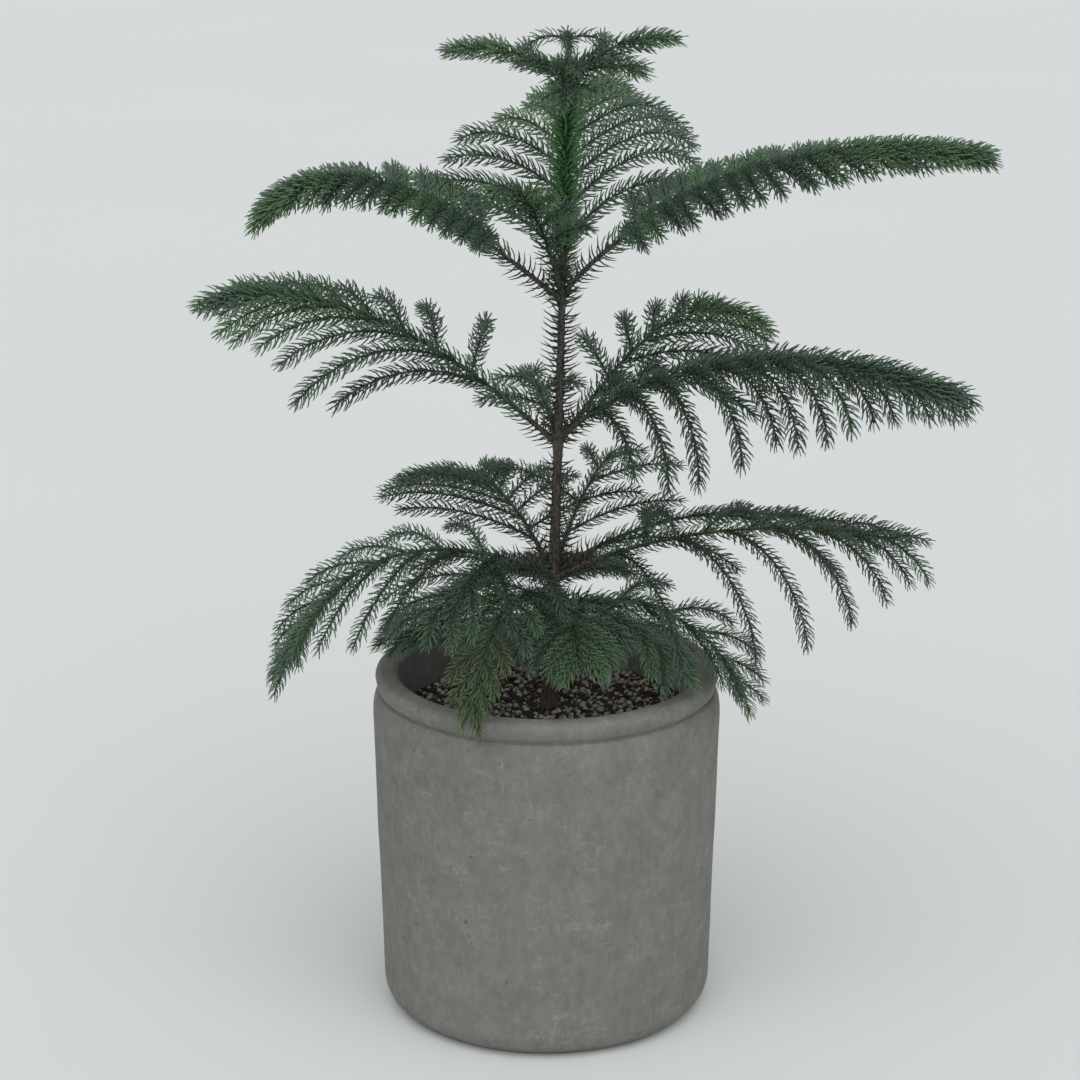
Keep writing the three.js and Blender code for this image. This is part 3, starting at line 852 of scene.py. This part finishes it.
def spray_tint(tier_index, bough, twig):
    """Tint of a spray: olive at the tips that hang lowest, fresher outwards and towards the top."""
    lowest = tier_index == 0
    if lowest and bough.tip < LIGHT.olive_below and twig.share > LIGHT.olive_from:
        return "olive"
    chance = 0.5 + 0.5 * jitter(bough.azimuth, twig.key, 3)
    light = LIGHT.least + LIGHT.outwards * twig.share + LIGHT.upwards * tier_index
    light += LIGHT.chance * chance
    # Painted shade on the sprays of steeply hanging boughs, which stand against the light
    if bough.droop > LIGHT.hangs_past:
        light += LIGHT.backlit_shade
    # Painted light on the front boughs of the lowest tier
    if lowest:
        light += LIGHT.front * max(0, -math.sin(math.radians(bough.azimuth)))
    if light < LIGHT.deep_until:
        return "deep"
    return "leaf" if light < LIGHT.leaf_until else "fresh"


def twig_strands(tier_index, index, foliage, pot):
    """The twigs of one bough, each cut short or left out where it would touch pot, soil or leader."""
    tier = TIERS[tier_index]
    bough = tier.boughs[index]
    places, slopes = bough_line(bough)
    for twig in twig_plan(tier, bough, foliage):
        share = twig.run / bough.length
        root = at_share(places, share)
        angle = between(TWIG.open_angle, TWIG.close_angle, twig.share) + TWIG.sway_angle * twig.sway
        closed = min(1, twig.share / TWIG.back_until)
        back = between(TWIG.back_opening, TWIG.back_closing, closed)
        angle = min(TWIG.widest, bough.spread * angle * (1 if twig.face > 0 else back))
        heading, turn = twig.hand * angle, twig.hand * TWIG.closing
        rise = TWIG.follow * at_share(slopes, share) + TWIG.lift + bough.lift + bough.bank * twig.face
        for cut in TWIG.cuts:
            span = cut * twig.span
            droop = bough.droop * (TWIG.least_droop + TWIG.more_droop * span / bough.span)
            steps = max(TWIG.least_steps, round(span / TWIG.step))
            shoot, _ = walk(root, span, rise, rise - droop, TWIG.bend, heading, turn, steps)
            points = in_plant(tier, index, shoot)
            if is_clear(points, pot):
                tint = spray_tint(tier_index, bough, twig)
                yield needled(points, foliage.twig_root, foliage.twig_tip, tier.needle, tint)
                break


def stem_strand(tier, index, foliage, least_places=8):
    """The stem that a bough's twigs stand on, from the end of its bare limb to its tip."""
    length = tier.boughs[index].length
    count = max(least_places, round(length / TWIG.step))
    points = along_bough(tier, index, np.linspace(tier.bare / length, 1, count))
    root_girth = LIMB.stem * tier.limb_radius
    return needled(points, root_girth, foliage.twig_tip, tier.needle, "leaf", SHOOT.stem_needle)


def limb_strand(tier, index):
    """The bare limb of a bough, from the leader to its first twig, with spiny needles."""
    count = LIMB.places
    points = along_bough(tier, index, np.linspace(0, tier.bare / tier.boughs[index].length, count))
    girth = np.linspace(tier.limb_radius, LIMB.stem * tier.limb_radius, count)
    reach = LIMB.needle * np.linspace(LIMB.root_needle, 1, count)
    return Strand(points, girth, reach, np.zeros(count), "bronze")


def sleeve_strand(low, high, reach, tint):
    """A stretch of the leader with its needles."""
    heights = np.arange(low, high, SLEEVE.step)
    closing = np.clip((heights - TRUNK_TIP + SLEEVE.closing) / SLEEVE.closing, 0, 1)
    lean = math.radians(SLEEVE.tip_lean) * closing
    if tint == "bronze":
        lean = lean - math.radians(SLEEVE.bronze_droop)
    length = reach * (1 - SLEEVE.tip_shortening * closing)
    return Strand(leader_centre(heights), leader_radius(heights), length, lean, tint)


def crown_strands(foliage):
    """Small drooping shoots under the leader's tip."""
    root = leader_centre(CROWN.height)
    strands = []
    for azimuth in CROWN.azimuths:
        points, _ = walk(root, CROWN.length, CROWN.rise, CROWN.tip, 1, heading=azimuth, steps=CROWN.steps)
        strands.append(needled(points, foliage.twig_root, foliage.twig_tip, CROWN.needle, "leaf"))
    return strands


def tier_strands(tier_index, foliage, pot):
    """Every needled shoot of a tier."""
    tier = TIERS[tier_index]
    strands = []
    for index in range(len(tier.boughs)):
        strands.append(stem_strand(tier, index, foliage))
        strands.extend(twig_strands(tier_index, index, foliage, pot))
    return strands


def tier_nodes(tier_index, kind):
    """Names of the frame's limbs or masses in one tier."""
    return [f"tier_{tier_index + 1}_{kind}_{i + 1}" for i in range(len(TIERS[tier_index].boughs))]


def strand_mesh(name, strands):
    """Edges along every strand, with what grows there as attributes of their points."""
    points = np.vstack([strand.points for strand in strands])
    edges, start = [], 0
    for strand in strands:
        end = start + len(strand.points)
        edges.extend((i, i + 1) for i in range(start, end - 1))
        start = end
    mesh = bpy.data.meshes.new(name)
    mesh.from_pydata(points.tolist(), edges, [])
    for key in GROWTH:
        values = np.concatenate([getattr(strand, key) for strand in strands])
        mesh.attributes.new(key, "FLOAT", "POINT").data.foreach_set("value", values.astype(np.float32))
    return mesh


def begin_tree(name, inputs):
    """A geometry tree with named inputs. Returns its graph, its inputs by name and their identifiers."""
    tree = bpy.data.node_groups.new(name, "GeometryNodeTree")
    tree.interface.new_socket("Geometry", in_out="INPUT", socket_type="NodeSocketGeometry")
    tree.interface.new_socket("Geometry", in_out="OUTPUT", socket_type="NodeSocketGeometry")
    identifiers = {}
    for label, kind in inputs.items():
        socket = tree.interface.new_socket(label, in_out="INPUT", socket_type=f"NodeSocket{kind}")
        identifiers[label] = socket.identifier
    graph = Graph(tree)
    entry = graph.add("NodeGroupInput")
    sockets = {label: entry.named(label) for label in ("Geometry", *inputs)}
    return graph, sockets, identifiers


def end_tree(graph, geometry, material, smooth=True):
    """Ends a tree in real geometry with its material."""
    real = graph.add("GeometryNodeRealizeInstances", {}, {"Geometry": geometry})
    shaded = graph.add("GeometryNodeSetShadeSmooth", {}, {"Geometry": real, "Shade Smooth": smooth})
    made = graph.add("GeometryNodeSetMaterial", {}, {"Geometry": shaded, "Material": material})
    graph.feed(graph.tree.nodes.new("NodeGroupOutput"), {"Geometry": made})


def twig_tree():
    """Tubes along strands, as thick as their girth."""
    graph, given, identifiers = begin_tree("twig_skin", {"Sides": "Int", "Material": "Material"})
    paths = graph.add("GeometryNodeMeshToCurve", {}, {"Mesh": given["Geometry"]})
    ring = graph.add("GeometryNodeCurvePrimitiveCircle", {}, {"Resolution": given["Sides"], "Radius": 1.0})
    sockets = {"Curve": paths, "Profile Curve": ring, "Scale": graph.attribute("girth"), "Fill Caps": True}
    end_tree(graph, graph.add("GeometryNodeCurveToMesh", {}, sockets), given["Material"])
    return graph.tree, identifiers


def needle_tree():
    """Needles round strands: each is spun on from the last, leans on and roots in the shoot's skin."""
    inputs = {"Needle": "Object", "Gap": "Float", "Seed": "Int", "Material": "Material"}
    graph, given, identifiers = begin_tree("needle_coat", inputs)
    seed = given["Seed"]
    paths = graph.add("GeometryNodeMeshToCurve", {}, {"Mesh": given["Geometry"]})
    sockets = {"Curve": paths, "Length": given["Gap"]}
    points = graph.add("GeometryNodeCurveToPoints", {"mode": "LENGTH"}, sockets)
    index = graph.add("GeometryNodeInputIndex")
    spin = index * GOLDEN_ANGLE + graph.random(-COAT.spin, COAT.spin, seed)
    turned = graph.spun(points.named("Rotation"), (0, 0, 1), spin)
    outward = graph.add("ShaderNodeCombineXYZ", {}, {"X": graph.attribute("girth") * COAT.root})
    offset = graph.add("FunctionNodeRotateVector", {}, {"Vector": outward, "Rotation": turned})
    placed = graph.add("GeometryNodeSetPosition", {}, {"Geometry": points, "Offset": offset})
    lean = graph.attribute("lean") + graph.random(-COAT.lean, COAT.lean, seed + 1)
    leaning = graph.spun(turned, (0, 1, 0), 0 - lean)
    size = graph.attribute("reach") * graph.random(*COAT.length, seed + 2)
    needle = graph.add("GeometryNodeObjectInfo", {}, {"Object": given["Needle"]}, out="Geometry")
    sockets = {"Points": placed, "Instance": needle, "Rotation": leaning, "Scale": size}
    end_tree(graph, graph.add("GeometryNodeInstanceOnPoints", {}, sockets), given["Material"])
    return graph.tree, identifiers


def grit_tree():
    """Grains scattered over a surface, each turned and squashed its own way."""
    sizes = {label: "Float" for label in ("Distance", "Density", "Size", "Flat")}
    inputs = {"Grain": "Object", **sizes, "Seed": "Int", "Material": "Material"}
    graph, given, identifiers = begin_tree("grit_scatter", inputs)
    seed = given["Seed"]
    tilt = GRAIN.tilt
    spacing = {"Distance Min": given["Distance"], "Density Max": given["Density"]}
    sockets = {"Mesh": given["Geometry"], **spacing, "Seed": seed}
    points = graph.add("GeometryNodeDistributePointsOnFaces", {"distribute_method": "POISSON"}, sockets)
    turns = {axis: graph.random(-tilt, tilt, seed + i) for i, axis in enumerate("XY", 1)}
    turns["Z"] = graph.random(-math.pi, math.pi, seed + 3)
    euler = graph.add("ShaderNodeCombineXYZ", {}, turns)
    rotation = graph.add("FunctionNodeEulerToRotation", {}, {"Euler": euler})
    base = given["Size"] * graph.random(*GRAIN.size, seed + 4)
    sides = {axis: base * graph.random(*GRAIN.width, seed + i) for i, axis in enumerate("XY", 5)}
    scale = graph.add("ShaderNodeCombineXYZ", {}, {**sides, "Z": base * given["Flat"]})
    grain = graph.add("GeometryNodeObjectInfo", {}, {"Object": given["Grain"]}, out="Geometry")
    sockets = {"Points": points, "Instance": grain, "Rotation": rotation, "Scale": scale}
    end_tree(graph, graph.add("GeometryNodeInstanceOnPoints", {}, sockets), given["Material"], smooth=False)
    return graph.tree, identifiers


def grown_mesh(name, mesh, grower, inputs):
    """The plain mesh that a geometry tree makes from a mesh and its inputs."""
    tree, identifiers = grower
    carrier = linked(name, mesh)
    modifier = carrier.modifiers.new("grow", "NODES")
    modifier.node_group = tree
    for label, value in inputs.items():
        modifier[identifiers[label]] = value
    bpy.context.view_layer.update()
    made = bpy.data.meshes.new_from_object(carrier.evaluated_get(bpy.context.evaluated_depsgraph_get()))
    carrier.modifiers.clear()
    bpy.data.objects.remove(carrier)
    made.name = name
    for attribute in [a.name for a in made.attributes if a.name in GROWTH]:
        made.attributes.remove(made.attributes[attribute])
    return made


def needle_object(name, width, lean, curl, blunt):
    """An awl of unit length that leans from +Z towards +X and curls back in, three-sided and closed."""
    angle = np.radians(lean - curl * NEEDLE_CURL)
    along = np.stack([np.sin(angle), np.zeros_like(angle), np.cos(angle)], axis=1)
    centres = np.cumsum(np.diff(NEEDLE_PLACES, prepend=0)[:, None] * along, axis=0)
    side = np.array([0, 1, 0])
    half = 0.5 * width
    vertices = []
    for centre, way, radius in zip(centres[:3], along, (half, half, blunt * half)):
        across = np.cross(side, way)
        for turn in turns_of(3):
            vertices.append(centre + radius * (math.cos(turn) * across + math.sin(turn) * side))
    vertices.append(centres[3])
    faces = [(2, 1, 0), *band_faces(3, 3)]
    faces.extend((6 + k, 6 + (k + 1) % 3, 9) for k in range(3))
    return bpy.data.objects.new(name, mesh_from(name, vertices, faces))


def grain_object(name, points, seed):
    """A rough grain about one unit across, the hull of points strewn over a ball."""
    draw = np.random.default_rng(seed)
    index = np.arange(points) + 0.5
    height = 1 - 2 * index / points
    turn = GOLDEN_ANGLE * index
    across = np.sqrt(1 - height ** 2)
    ball = np.stack([across * np.cos(turn), across * np.sin(turn), height], axis=1)
    ball *= 0.5 * draw.uniform(*GRAIN.skin, (points, 1))
    shape = bmesh.new()
    for place in ball:
        shape.verts.new(place)
    hull = bmesh.ops.convex_hull(shape, input=shape.verts)
    loose = [v for v in hull["geom_interior"] if isinstance(v, bmesh.types.BMVert)]
    bmesh.ops.delete(shape, geom=loose, context="VERTS")
    bmesh.ops.recalc_face_normals(shape, faces=shape.faces)
    mesh = bpy.data.meshes.new(name)
    shape.to_mesh(mesh)
    shape.free()
    return bpy.data.objects.new(name, mesh)


def arc(centre, radius, start, end, steps):
    """Places along an arc in a profile of radius and height."""
    angle = np.radians(np.linspace(start, end, steps + 1))
    return np.stack([centre[0] + radius * np.cos(angle), centre[1] + radius * np.sin(angle)], axis=1)


def straight(start, end, steps):
    """Places along a straight line."""
    return np.linspace(start, end, steps + 1)


def bent(start, control, end, steps):
    """Places along a quadratic curve."""
    t = np.linspace(0, 1, steps + 1)[:, None]
    start, control, end = (np.asarray(p) for p in (start, control, end))
    return (1 - t) ** 2 * start + 2 * t * (1 - t) * control + t ** 2 * end


def pot_profile(pot):
    """Half section of the pot from under its foot, up the wall, over the rim and down to its floor."""
    foot = pot.foot_radius - pot.foot_round
    edge = pot.height - pot.collar_round
    shoulder = (pot.radius, pot.shoulder)
    turn_in = (pot.radius, pot.groove_height - POT.turn_drop)
    groove = (pot.groove_radius, pot.groove_height)
    turn_out = (pot.groove_radius, pot.groove_height + POT.turn_rise)
    collar = (pot.collar_radius, pot.groove_height + POT.collar_rise)
    stretches = [
        straight((POT.underside * foot, 0), (foot, 0), steps=4),
        arc((foot, pot.foot_round), pot.foot_round, -90, 0, steps=14),
        straight((pot.foot_radius, pot.foot_round), shoulder, steps=40),
        bent(shoulder, turn_in, groove, steps=14),
        bent(groove, turn_out, collar, steps=6),
        arc((pot.collar_radius - pot.collar_round, edge), pot.collar_round, 0, 90, steps=8),
        arc((pot.rim_radius + pot.collar_round, edge), pot.collar_round, 90, 180, steps=8),
        straight((pot.rim_radius, edge), (pot.well_radius, pot.floor), steps=12),
    ]
    return np.vstack([*(stretch[:-1] for stretch in stretches[:-1]), stretches[-1]])


def waves(place, broad, fine, fine_share):
    """Noise of two sizes at a place, each size given by its waves to the metre."""
    return noise.noise(Vector(place) * broad) + fine_share * noise.noise(Vector(place) * fine)


def pot_mesh(pot, segments=176):
    """The pot, cast a little out of true."""
    turns = turns_of(segments)
    rings = []
    for radius, height in pot_profile(pot):
        ring = circle(radius, height, turns)
        for place in ring:
            stray = waves(place, *POT.waves)
            place[:2] *= 1 + pot.unevenness * stray / max(radius, POT.calm_radius)
        rings.append(ring)
    return mesh_from("pot", *loft(rings))


def soil_rings(soil, pot, segments=96, count=34):
    """Rings over the top of the soil, from the pot's wall to near its middle."""
    share = (SOIL_TOP - pot.floor) / (pot.height - pot.floor)
    wall = between(pot.well_radius, pot.rim_radius, share) - SOIL.gap
    turns = turns_of(segments)
    rings = []
    for radius in np.linspace(wall, SOIL.middle, count):
        fall = soil.dish * max(0, 1 - (wall - radius) / SOIL.dish_width)
        ring = circle(radius, SOIL_TOP - fall, turns)
        for place in ring:
            lump = waves(place, *SOIL.waves)
            place[2] += soil.roughness * (SOIL.lump * lump - SOIL.sink)
        rings.append(ring)
    return rings


def soil_mesh(soil, pot):
    """The potting mix down to the pot's floor, lumpy on top."""
    top = soil_rings(soil, pot)
    floor = top[0] * [SOIL.foot, SOIL.foot, 0] + [0, 0, pot.floor + SOIL.gap]
    return mesh_from("soil", *loft([floor, *top]))


def grit_bed(soil, pot):
    """The open top of the soil that the grit lies on."""
    rings = np.asarray(soil_rings(soil, pot)[1:])
    return mesh_from("grit_bed", rings.reshape(-1, 3), band_faces(*rings.shape[:2]))


def cushions(turns, along, windings):
    """Leaf cushions where the windings that run each way round a shoot cross."""
    (left, left_turn), (right, right_turn) = windings
    return np.cos(left * turns + left_turn * along) * np.cos(right * turns - right_turn * along)


def bark_noise(turns, around, along):
    """Noise round one ring of bark."""
    places = [Vector((math.cos(t) * around, math.sin(t) * around, along)) for t in turns]
    return np.array([noise.noise(place) for place in places])


def leader_mesh(bark, sides=22):
    """The leader with leaf cushions, furrows and a bud at its tip, cut flat at the soil."""
    heights = np.append(np.arange(TRUNK_FOOT, TRUNK_TIP, RING_STEP), TRUNK_TIP)
    rough_around, rough_along = LEADER.rough_waves
    furrow_around, furrow_along = LEADER.furrow_waves
    turns = turns_of(sides)
    rings = []
    for height, centre, radius in zip(heights, leader_centre(heights), leader_radius(heights)):
        relief = LEADER.cushion * cushions(turns, height, LEADER.windings)
        relief = relief + LEADER.rough * bark_noise(turns, rough_around, height * rough_along)
        relief = relief + LEADER.furrow * bark_noise(turns, furrow_around, height * furrow_along)
        depth = bark.relief * min(1, radius / LEADER.deep_from)
        rings.append(circle(radius + depth * relief, 0, turns) + centre)
    for share in LEADER.bud:
        middle = rings[-1].mean(axis=0)
        rings.append((rings[-1] - middle) * share + middle + [0, 0, LEADER.bud_step])
    return mesh_from("leader", *loft(rings))


def limb_rings(tier, index, bark, sides=12):
    """Rings along a bough's bare limb, swollen where it leaves the leader."""
    start = LIMB.depth * float(leader_radius(tier.height))
    runs = np.arange(start, tier.bare + LIMB.overlap, RING_STEP)
    points = along_bough(tier, index, runs / tier.boughs[index].length)
    along = np.gradient(points, axis=0)
    along /= np.linalg.norm(along, axis=1)[:, None]
    side = np.cross((0, 0, 1), along)
    side /= np.linalg.norm(side, axis=1)[:, None]
    up = np.cross(along, side)
    rough_around, rough_along = LIMB.rough_waves
    turns = turns_of(sides)
    rings = []
    for i, run in enumerate(runs):
        radius = tier.limb_radius * between(LIMB.root, LIMB.end, run / tier.bare)
        radius += LIMB.swell * tier.limb_radius * math.exp(-(run - start) / LIMB.swell_run)
        relief = LIMB.cushion * cushions(turns, run, LIMB.windings)
        relief = relief + bark_noise(turns, rough_around, run * rough_along + index)
        out = radius + LIMB.relief * bark.relief * relief
        ways = np.cos(turns)[:, None] * side[i] + np.sin(turns)[:, None] * up[i]
        rings.append(points[i] + out[:, None] * ways)
    return rings


class PINE_OT_pot(Operator):
    """Cast the cement pot"""

    bl_idname = "pine.pot"
    bl_label = "Pot"

    def execute(self, context):
        pot = context.scene.pine.pot
        add_piece("pot_cement", pot_mesh(pot), cement_material(pot), ["pot"])
        return {"FINISHED"}


class PINE_OT_soil(Operator):
    """Fill the pot with potting mix"""

    bl_idname = "pine.soil"
    bl_label = "Soil"

    def execute(self, context):
        pine = context.scene.pine
        add_piece("soil_mix", soil_mesh(pine.soil, pine.pot), soil_material(pine.soil), ["soil"])
        return {"FINISHED"}


class PINE_OT_grit(Operator):
    """Strew pumice, bark chips and crumbs over the potting mix"""

    bl_idname = "pine.grit"
    bl_label = "Grit"

    def execute(self, context):
        pine = context.scene.pine
        soil = pine.soil
        grower = grit_tree()
        for i, (kind, distance, density, size, flat) in enumerate(GRIT):
            name = f"grit_{kind}"
            colour = getattr(soil, kind)
            grain = grain_object(f"{name}_grain", GRAIN.points, soil.seed + i)
            material = grit_material(name, colour, [GRAIN.pores * c for c in colour])
            inputs = {
                "Grain": grain, "Distance": distance, "Density": density, "Size": size, "Flat": flat,
                "Seed": soil.seed + GRAIN.seed_step * i, "Material": material,
            }
            mesh = grown_mesh(name, grit_bed(soil, pine.pot), grower, inputs)
            add_piece(name, mesh, material, ["soil"])
            bpy.data.objects.remove(grain)
        return {"FINISHED"}


class PINE_OT_bark(Operator):
    """Give the leader and the boughs their bark"""

    bl_idname = "pine.bark"
    bl_label = "Leader and boughs"

    def execute(self, context):
        bark = context.scene.pine.bark
        material = bark_material(bark)
        add_piece("leader_bark", leader_mesh(bark), material, ["trunk"])
        for t, tier in enumerate(TIERS):
            name = f"tier_{t + 1}_bark"
            limbs = [loft(limb_rings(tier, i, bark)) for i in range(len(tier.boughs))]
            add_piece(name, mesh_from(name, *joined(limbs)), material, tier_nodes(t, "bough"))
        return {"FINISHED"}


class PINE_OT_twigs(Operator):
    """Grow the twigs of every tier and the small shoots of the crown"""

    bl_idname = "pine.twigs"
    bl_label = "Twigs"

    def execute(self, context):
        pine = context.scene.pine
        foliage = pine.foliage
        material = green_material("twig_skin", foliage.twig, roughness=0.7)
        inputs = {"Sides": TWIG.sides, "Material": material}
        grower = twig_tree()
        groups = [(f"tier_{t + 1}_twigs", tier_strands(t, foliage, pine.pot), tier_nodes(t, "foliage"))
                  for t in range(len(TIERS))]
        groups.append(("crown_twigs", crown_strands(foliage), ["leader_shoots"]))
        for name, strands, nodes in groups:
            mesh = grown_mesh(name, strand_mesh(name, strands), grower, inputs)
            add_piece(name, mesh, material, nodes)
        return {"FINISHED"}


class PINE_OT_needles(Operator):
    """Clothe the twigs, the bare limbs and the leader in needles"""

    bl_idname = "pine.needles"
    bl_label = "Needles"

    def execute(self, context):
        pine = context.scene.pine
        foliage = pine.foliage
        self.grower = needle_tree()
        self.seed = foliage.seed
        self.needles = {kind: needle_object(f"{kind}_needle", *shape) for kind, shape in NEEDLES.items()}
        self.materials = {tint: green_material(f"needles_{tint}", getattr(foliage, tint), roughness=0.5)
                          for tint in (*TINTS, "bright", "bronze")}
        for t in range(len(TIERS)):
            self.clothe_tier(t, foliage, pine.pot)
        shoots = crown_strands(foliage)
        self.coat("crown_needles", shoots, "soft", foliage.needle_gap, "leaf", ["leader_shoots"])
        for i, (low, high, reach, gap, tint, node) in enumerate(SLEEVES):
            strand = sleeve_strand(low, high, reach, tint)
            self.coat(f"leader_needles_{i + 1}", [strand], "spine", gap, tint, [node])
        for needle in self.needles.values():
            bpy.data.objects.remove(needle)
        return {"FINISHED"}

    def clothe_tier(self, t, foliage, pot):
        """The needles of one tier: a piece for each tint of its shoots, and one for its bare limbs."""
        kind, gap = ("soft", foliage.needle_gap) if t else ("fine", foliage.fine_gap)
        nodes = tier_nodes(t, "foliage")
        strands = tier_strands(t, foliage, pot)
        for tint in TINTS:
            dealt = [strand for strand in strands if strand.tint == tint]
            if dealt:
                self.coat(f"tier_{t + 1}_needles_{tint}", dealt, kind, gap, tint, nodes)
        limbs = [limb_strand(TIERS[t], i) for i in range(len(TIERS[t].boughs))]
        self.coat(f"tier_{t + 1}_limb_needles", limbs, "spine", foliage.spine_gap, "bronze", nodes)

    def coat(self, name, strands, kind, gap, tint, nodes):
        """One piece of needles of one kind and tint."""
        self.seed += COAT.seed_step
        material = self.materials[tint]
        inputs = {"Needle": self.needles[kind], "Gap": gap, "Seed": self.seed, "Material": material}
        mesh = grown_mesh(name, strand_mesh(name, strands), self.grower, inputs)
        add_piece(name, mesh, material, nodes)


class PINE_OT_stage(Operator):
    """Lay the floor, light it and place the camera"""

    bl_idname = "pine.stage"
    bl_label = "Stage"

    def execute(self, context):
        scene = context.scene
        stage = scene.pine.stage
        self.lay_floor(stage)
        self.light_up(scene, stage)
        self.place_camera(scene, stage)
        return {"FINISHED"}

    def lay_floor(self, stage, radius=14, segments=64):
        """A wide plain disc."""
        edge = circle(radius, 0, turns_of(segments))
        mesh = mesh_from("floor", edge, [tuple(range(segments))])
        mesh.materials.append(floor_material(stage.floor))
        floor = linked("floor", mesh)

    def light_up(self, scene, stage):
        """A soft sky and one soft main light."""
        world = bpy.data.worlds.new("soft_sky")
        world.use_nodes = True
        sky = world.node_tree.nodes["Background"]
        sky.inputs["Color"].default_value = (*stage.sky, 1)
        sky.inputs["Strength"].default_value = stage.sky_strength
        scene.world = world
        scene.view_settings.view_transform = "Standard"
        lamp = bpy.data.lights.new("soft_sun", "SUN")
        lamp.angle = stage.sun_angle
        lamp.energy = stage.sun_strength
        light = linked("soft_sun", lamp)
        light.rotation_euler = Vector(stage.sun_way).to_track_quat("-Z", "Y").to_euler()

    def place_camera(self, scene, stage):
        """The camera where the viewer stands."""
        lens = bpy.data.cameras.new("camera")
        lens.lens = stage.lens
        lens.sensor_width = stage.sensor
        camera = linked("camera", lens)
        camera.location = stage.eye
        camera.rotation_euler = (stage.pitch, 0, 0)
        scene.camera = camera


PIECES = (
    PINE_OT_pot, PINE_OT_soil, PINE_OT_grit, PINE_OT_bark, PINE_OT_twigs, PINE_OT_needles, PINE_OT_stage,
)


class PINE_PT_sidebar(Panel):
    """Lists the steps that make the plant, with their settings"""

    bl_idname = "PINE_PT_sidebar"
    bl_label = "Norfolk island pine"
    bl_space_type = "VIEW_3D"
    bl_region_type = "UI"
    bl_category = "Pine"

    def draw(self, context):
        for step in PIECES:
            self.layout.operator(step.bl_idname)
        for part in ("pot", "soil", "bark", "foliage", "stage"):
            box = self.layout.box()
            settings = getattr(context.scene.pine, part)
            for key in settings.bl_rna.properties.keys():
                if key not in ("rna_type", "name"):
                    box.prop(settings, key)


CLASSES = (
    PotSettings, SoilSettings, BarkSettings, FoliageSettings, StageSettings, PineSettings,
    *PIECES, PINE_PT_sidebar,
)


def register():
    for kind in CLASSES:
        bpy.utils.register_class(kind)
    bpy.types.Scene.pine = PointerProperty(type=PineSettings)


def unregister():
    del bpy.types.Scene.pine
    for kind in reversed(CLASSES):
        bpy.utils.unregister_class(kind)


def main():
    """Makes every piece in order."""
    register()
    for step in (bpy.ops.pine.pot, bpy.ops.pine.soil, bpy.ops.pine.grit, bpy.ops.pine.bark,
                 bpy.ops.pine.twigs, bpy.ops.pine.needles, bpy.ops.pine.stage):
        step()


if __name__ == "__main__":
    main()
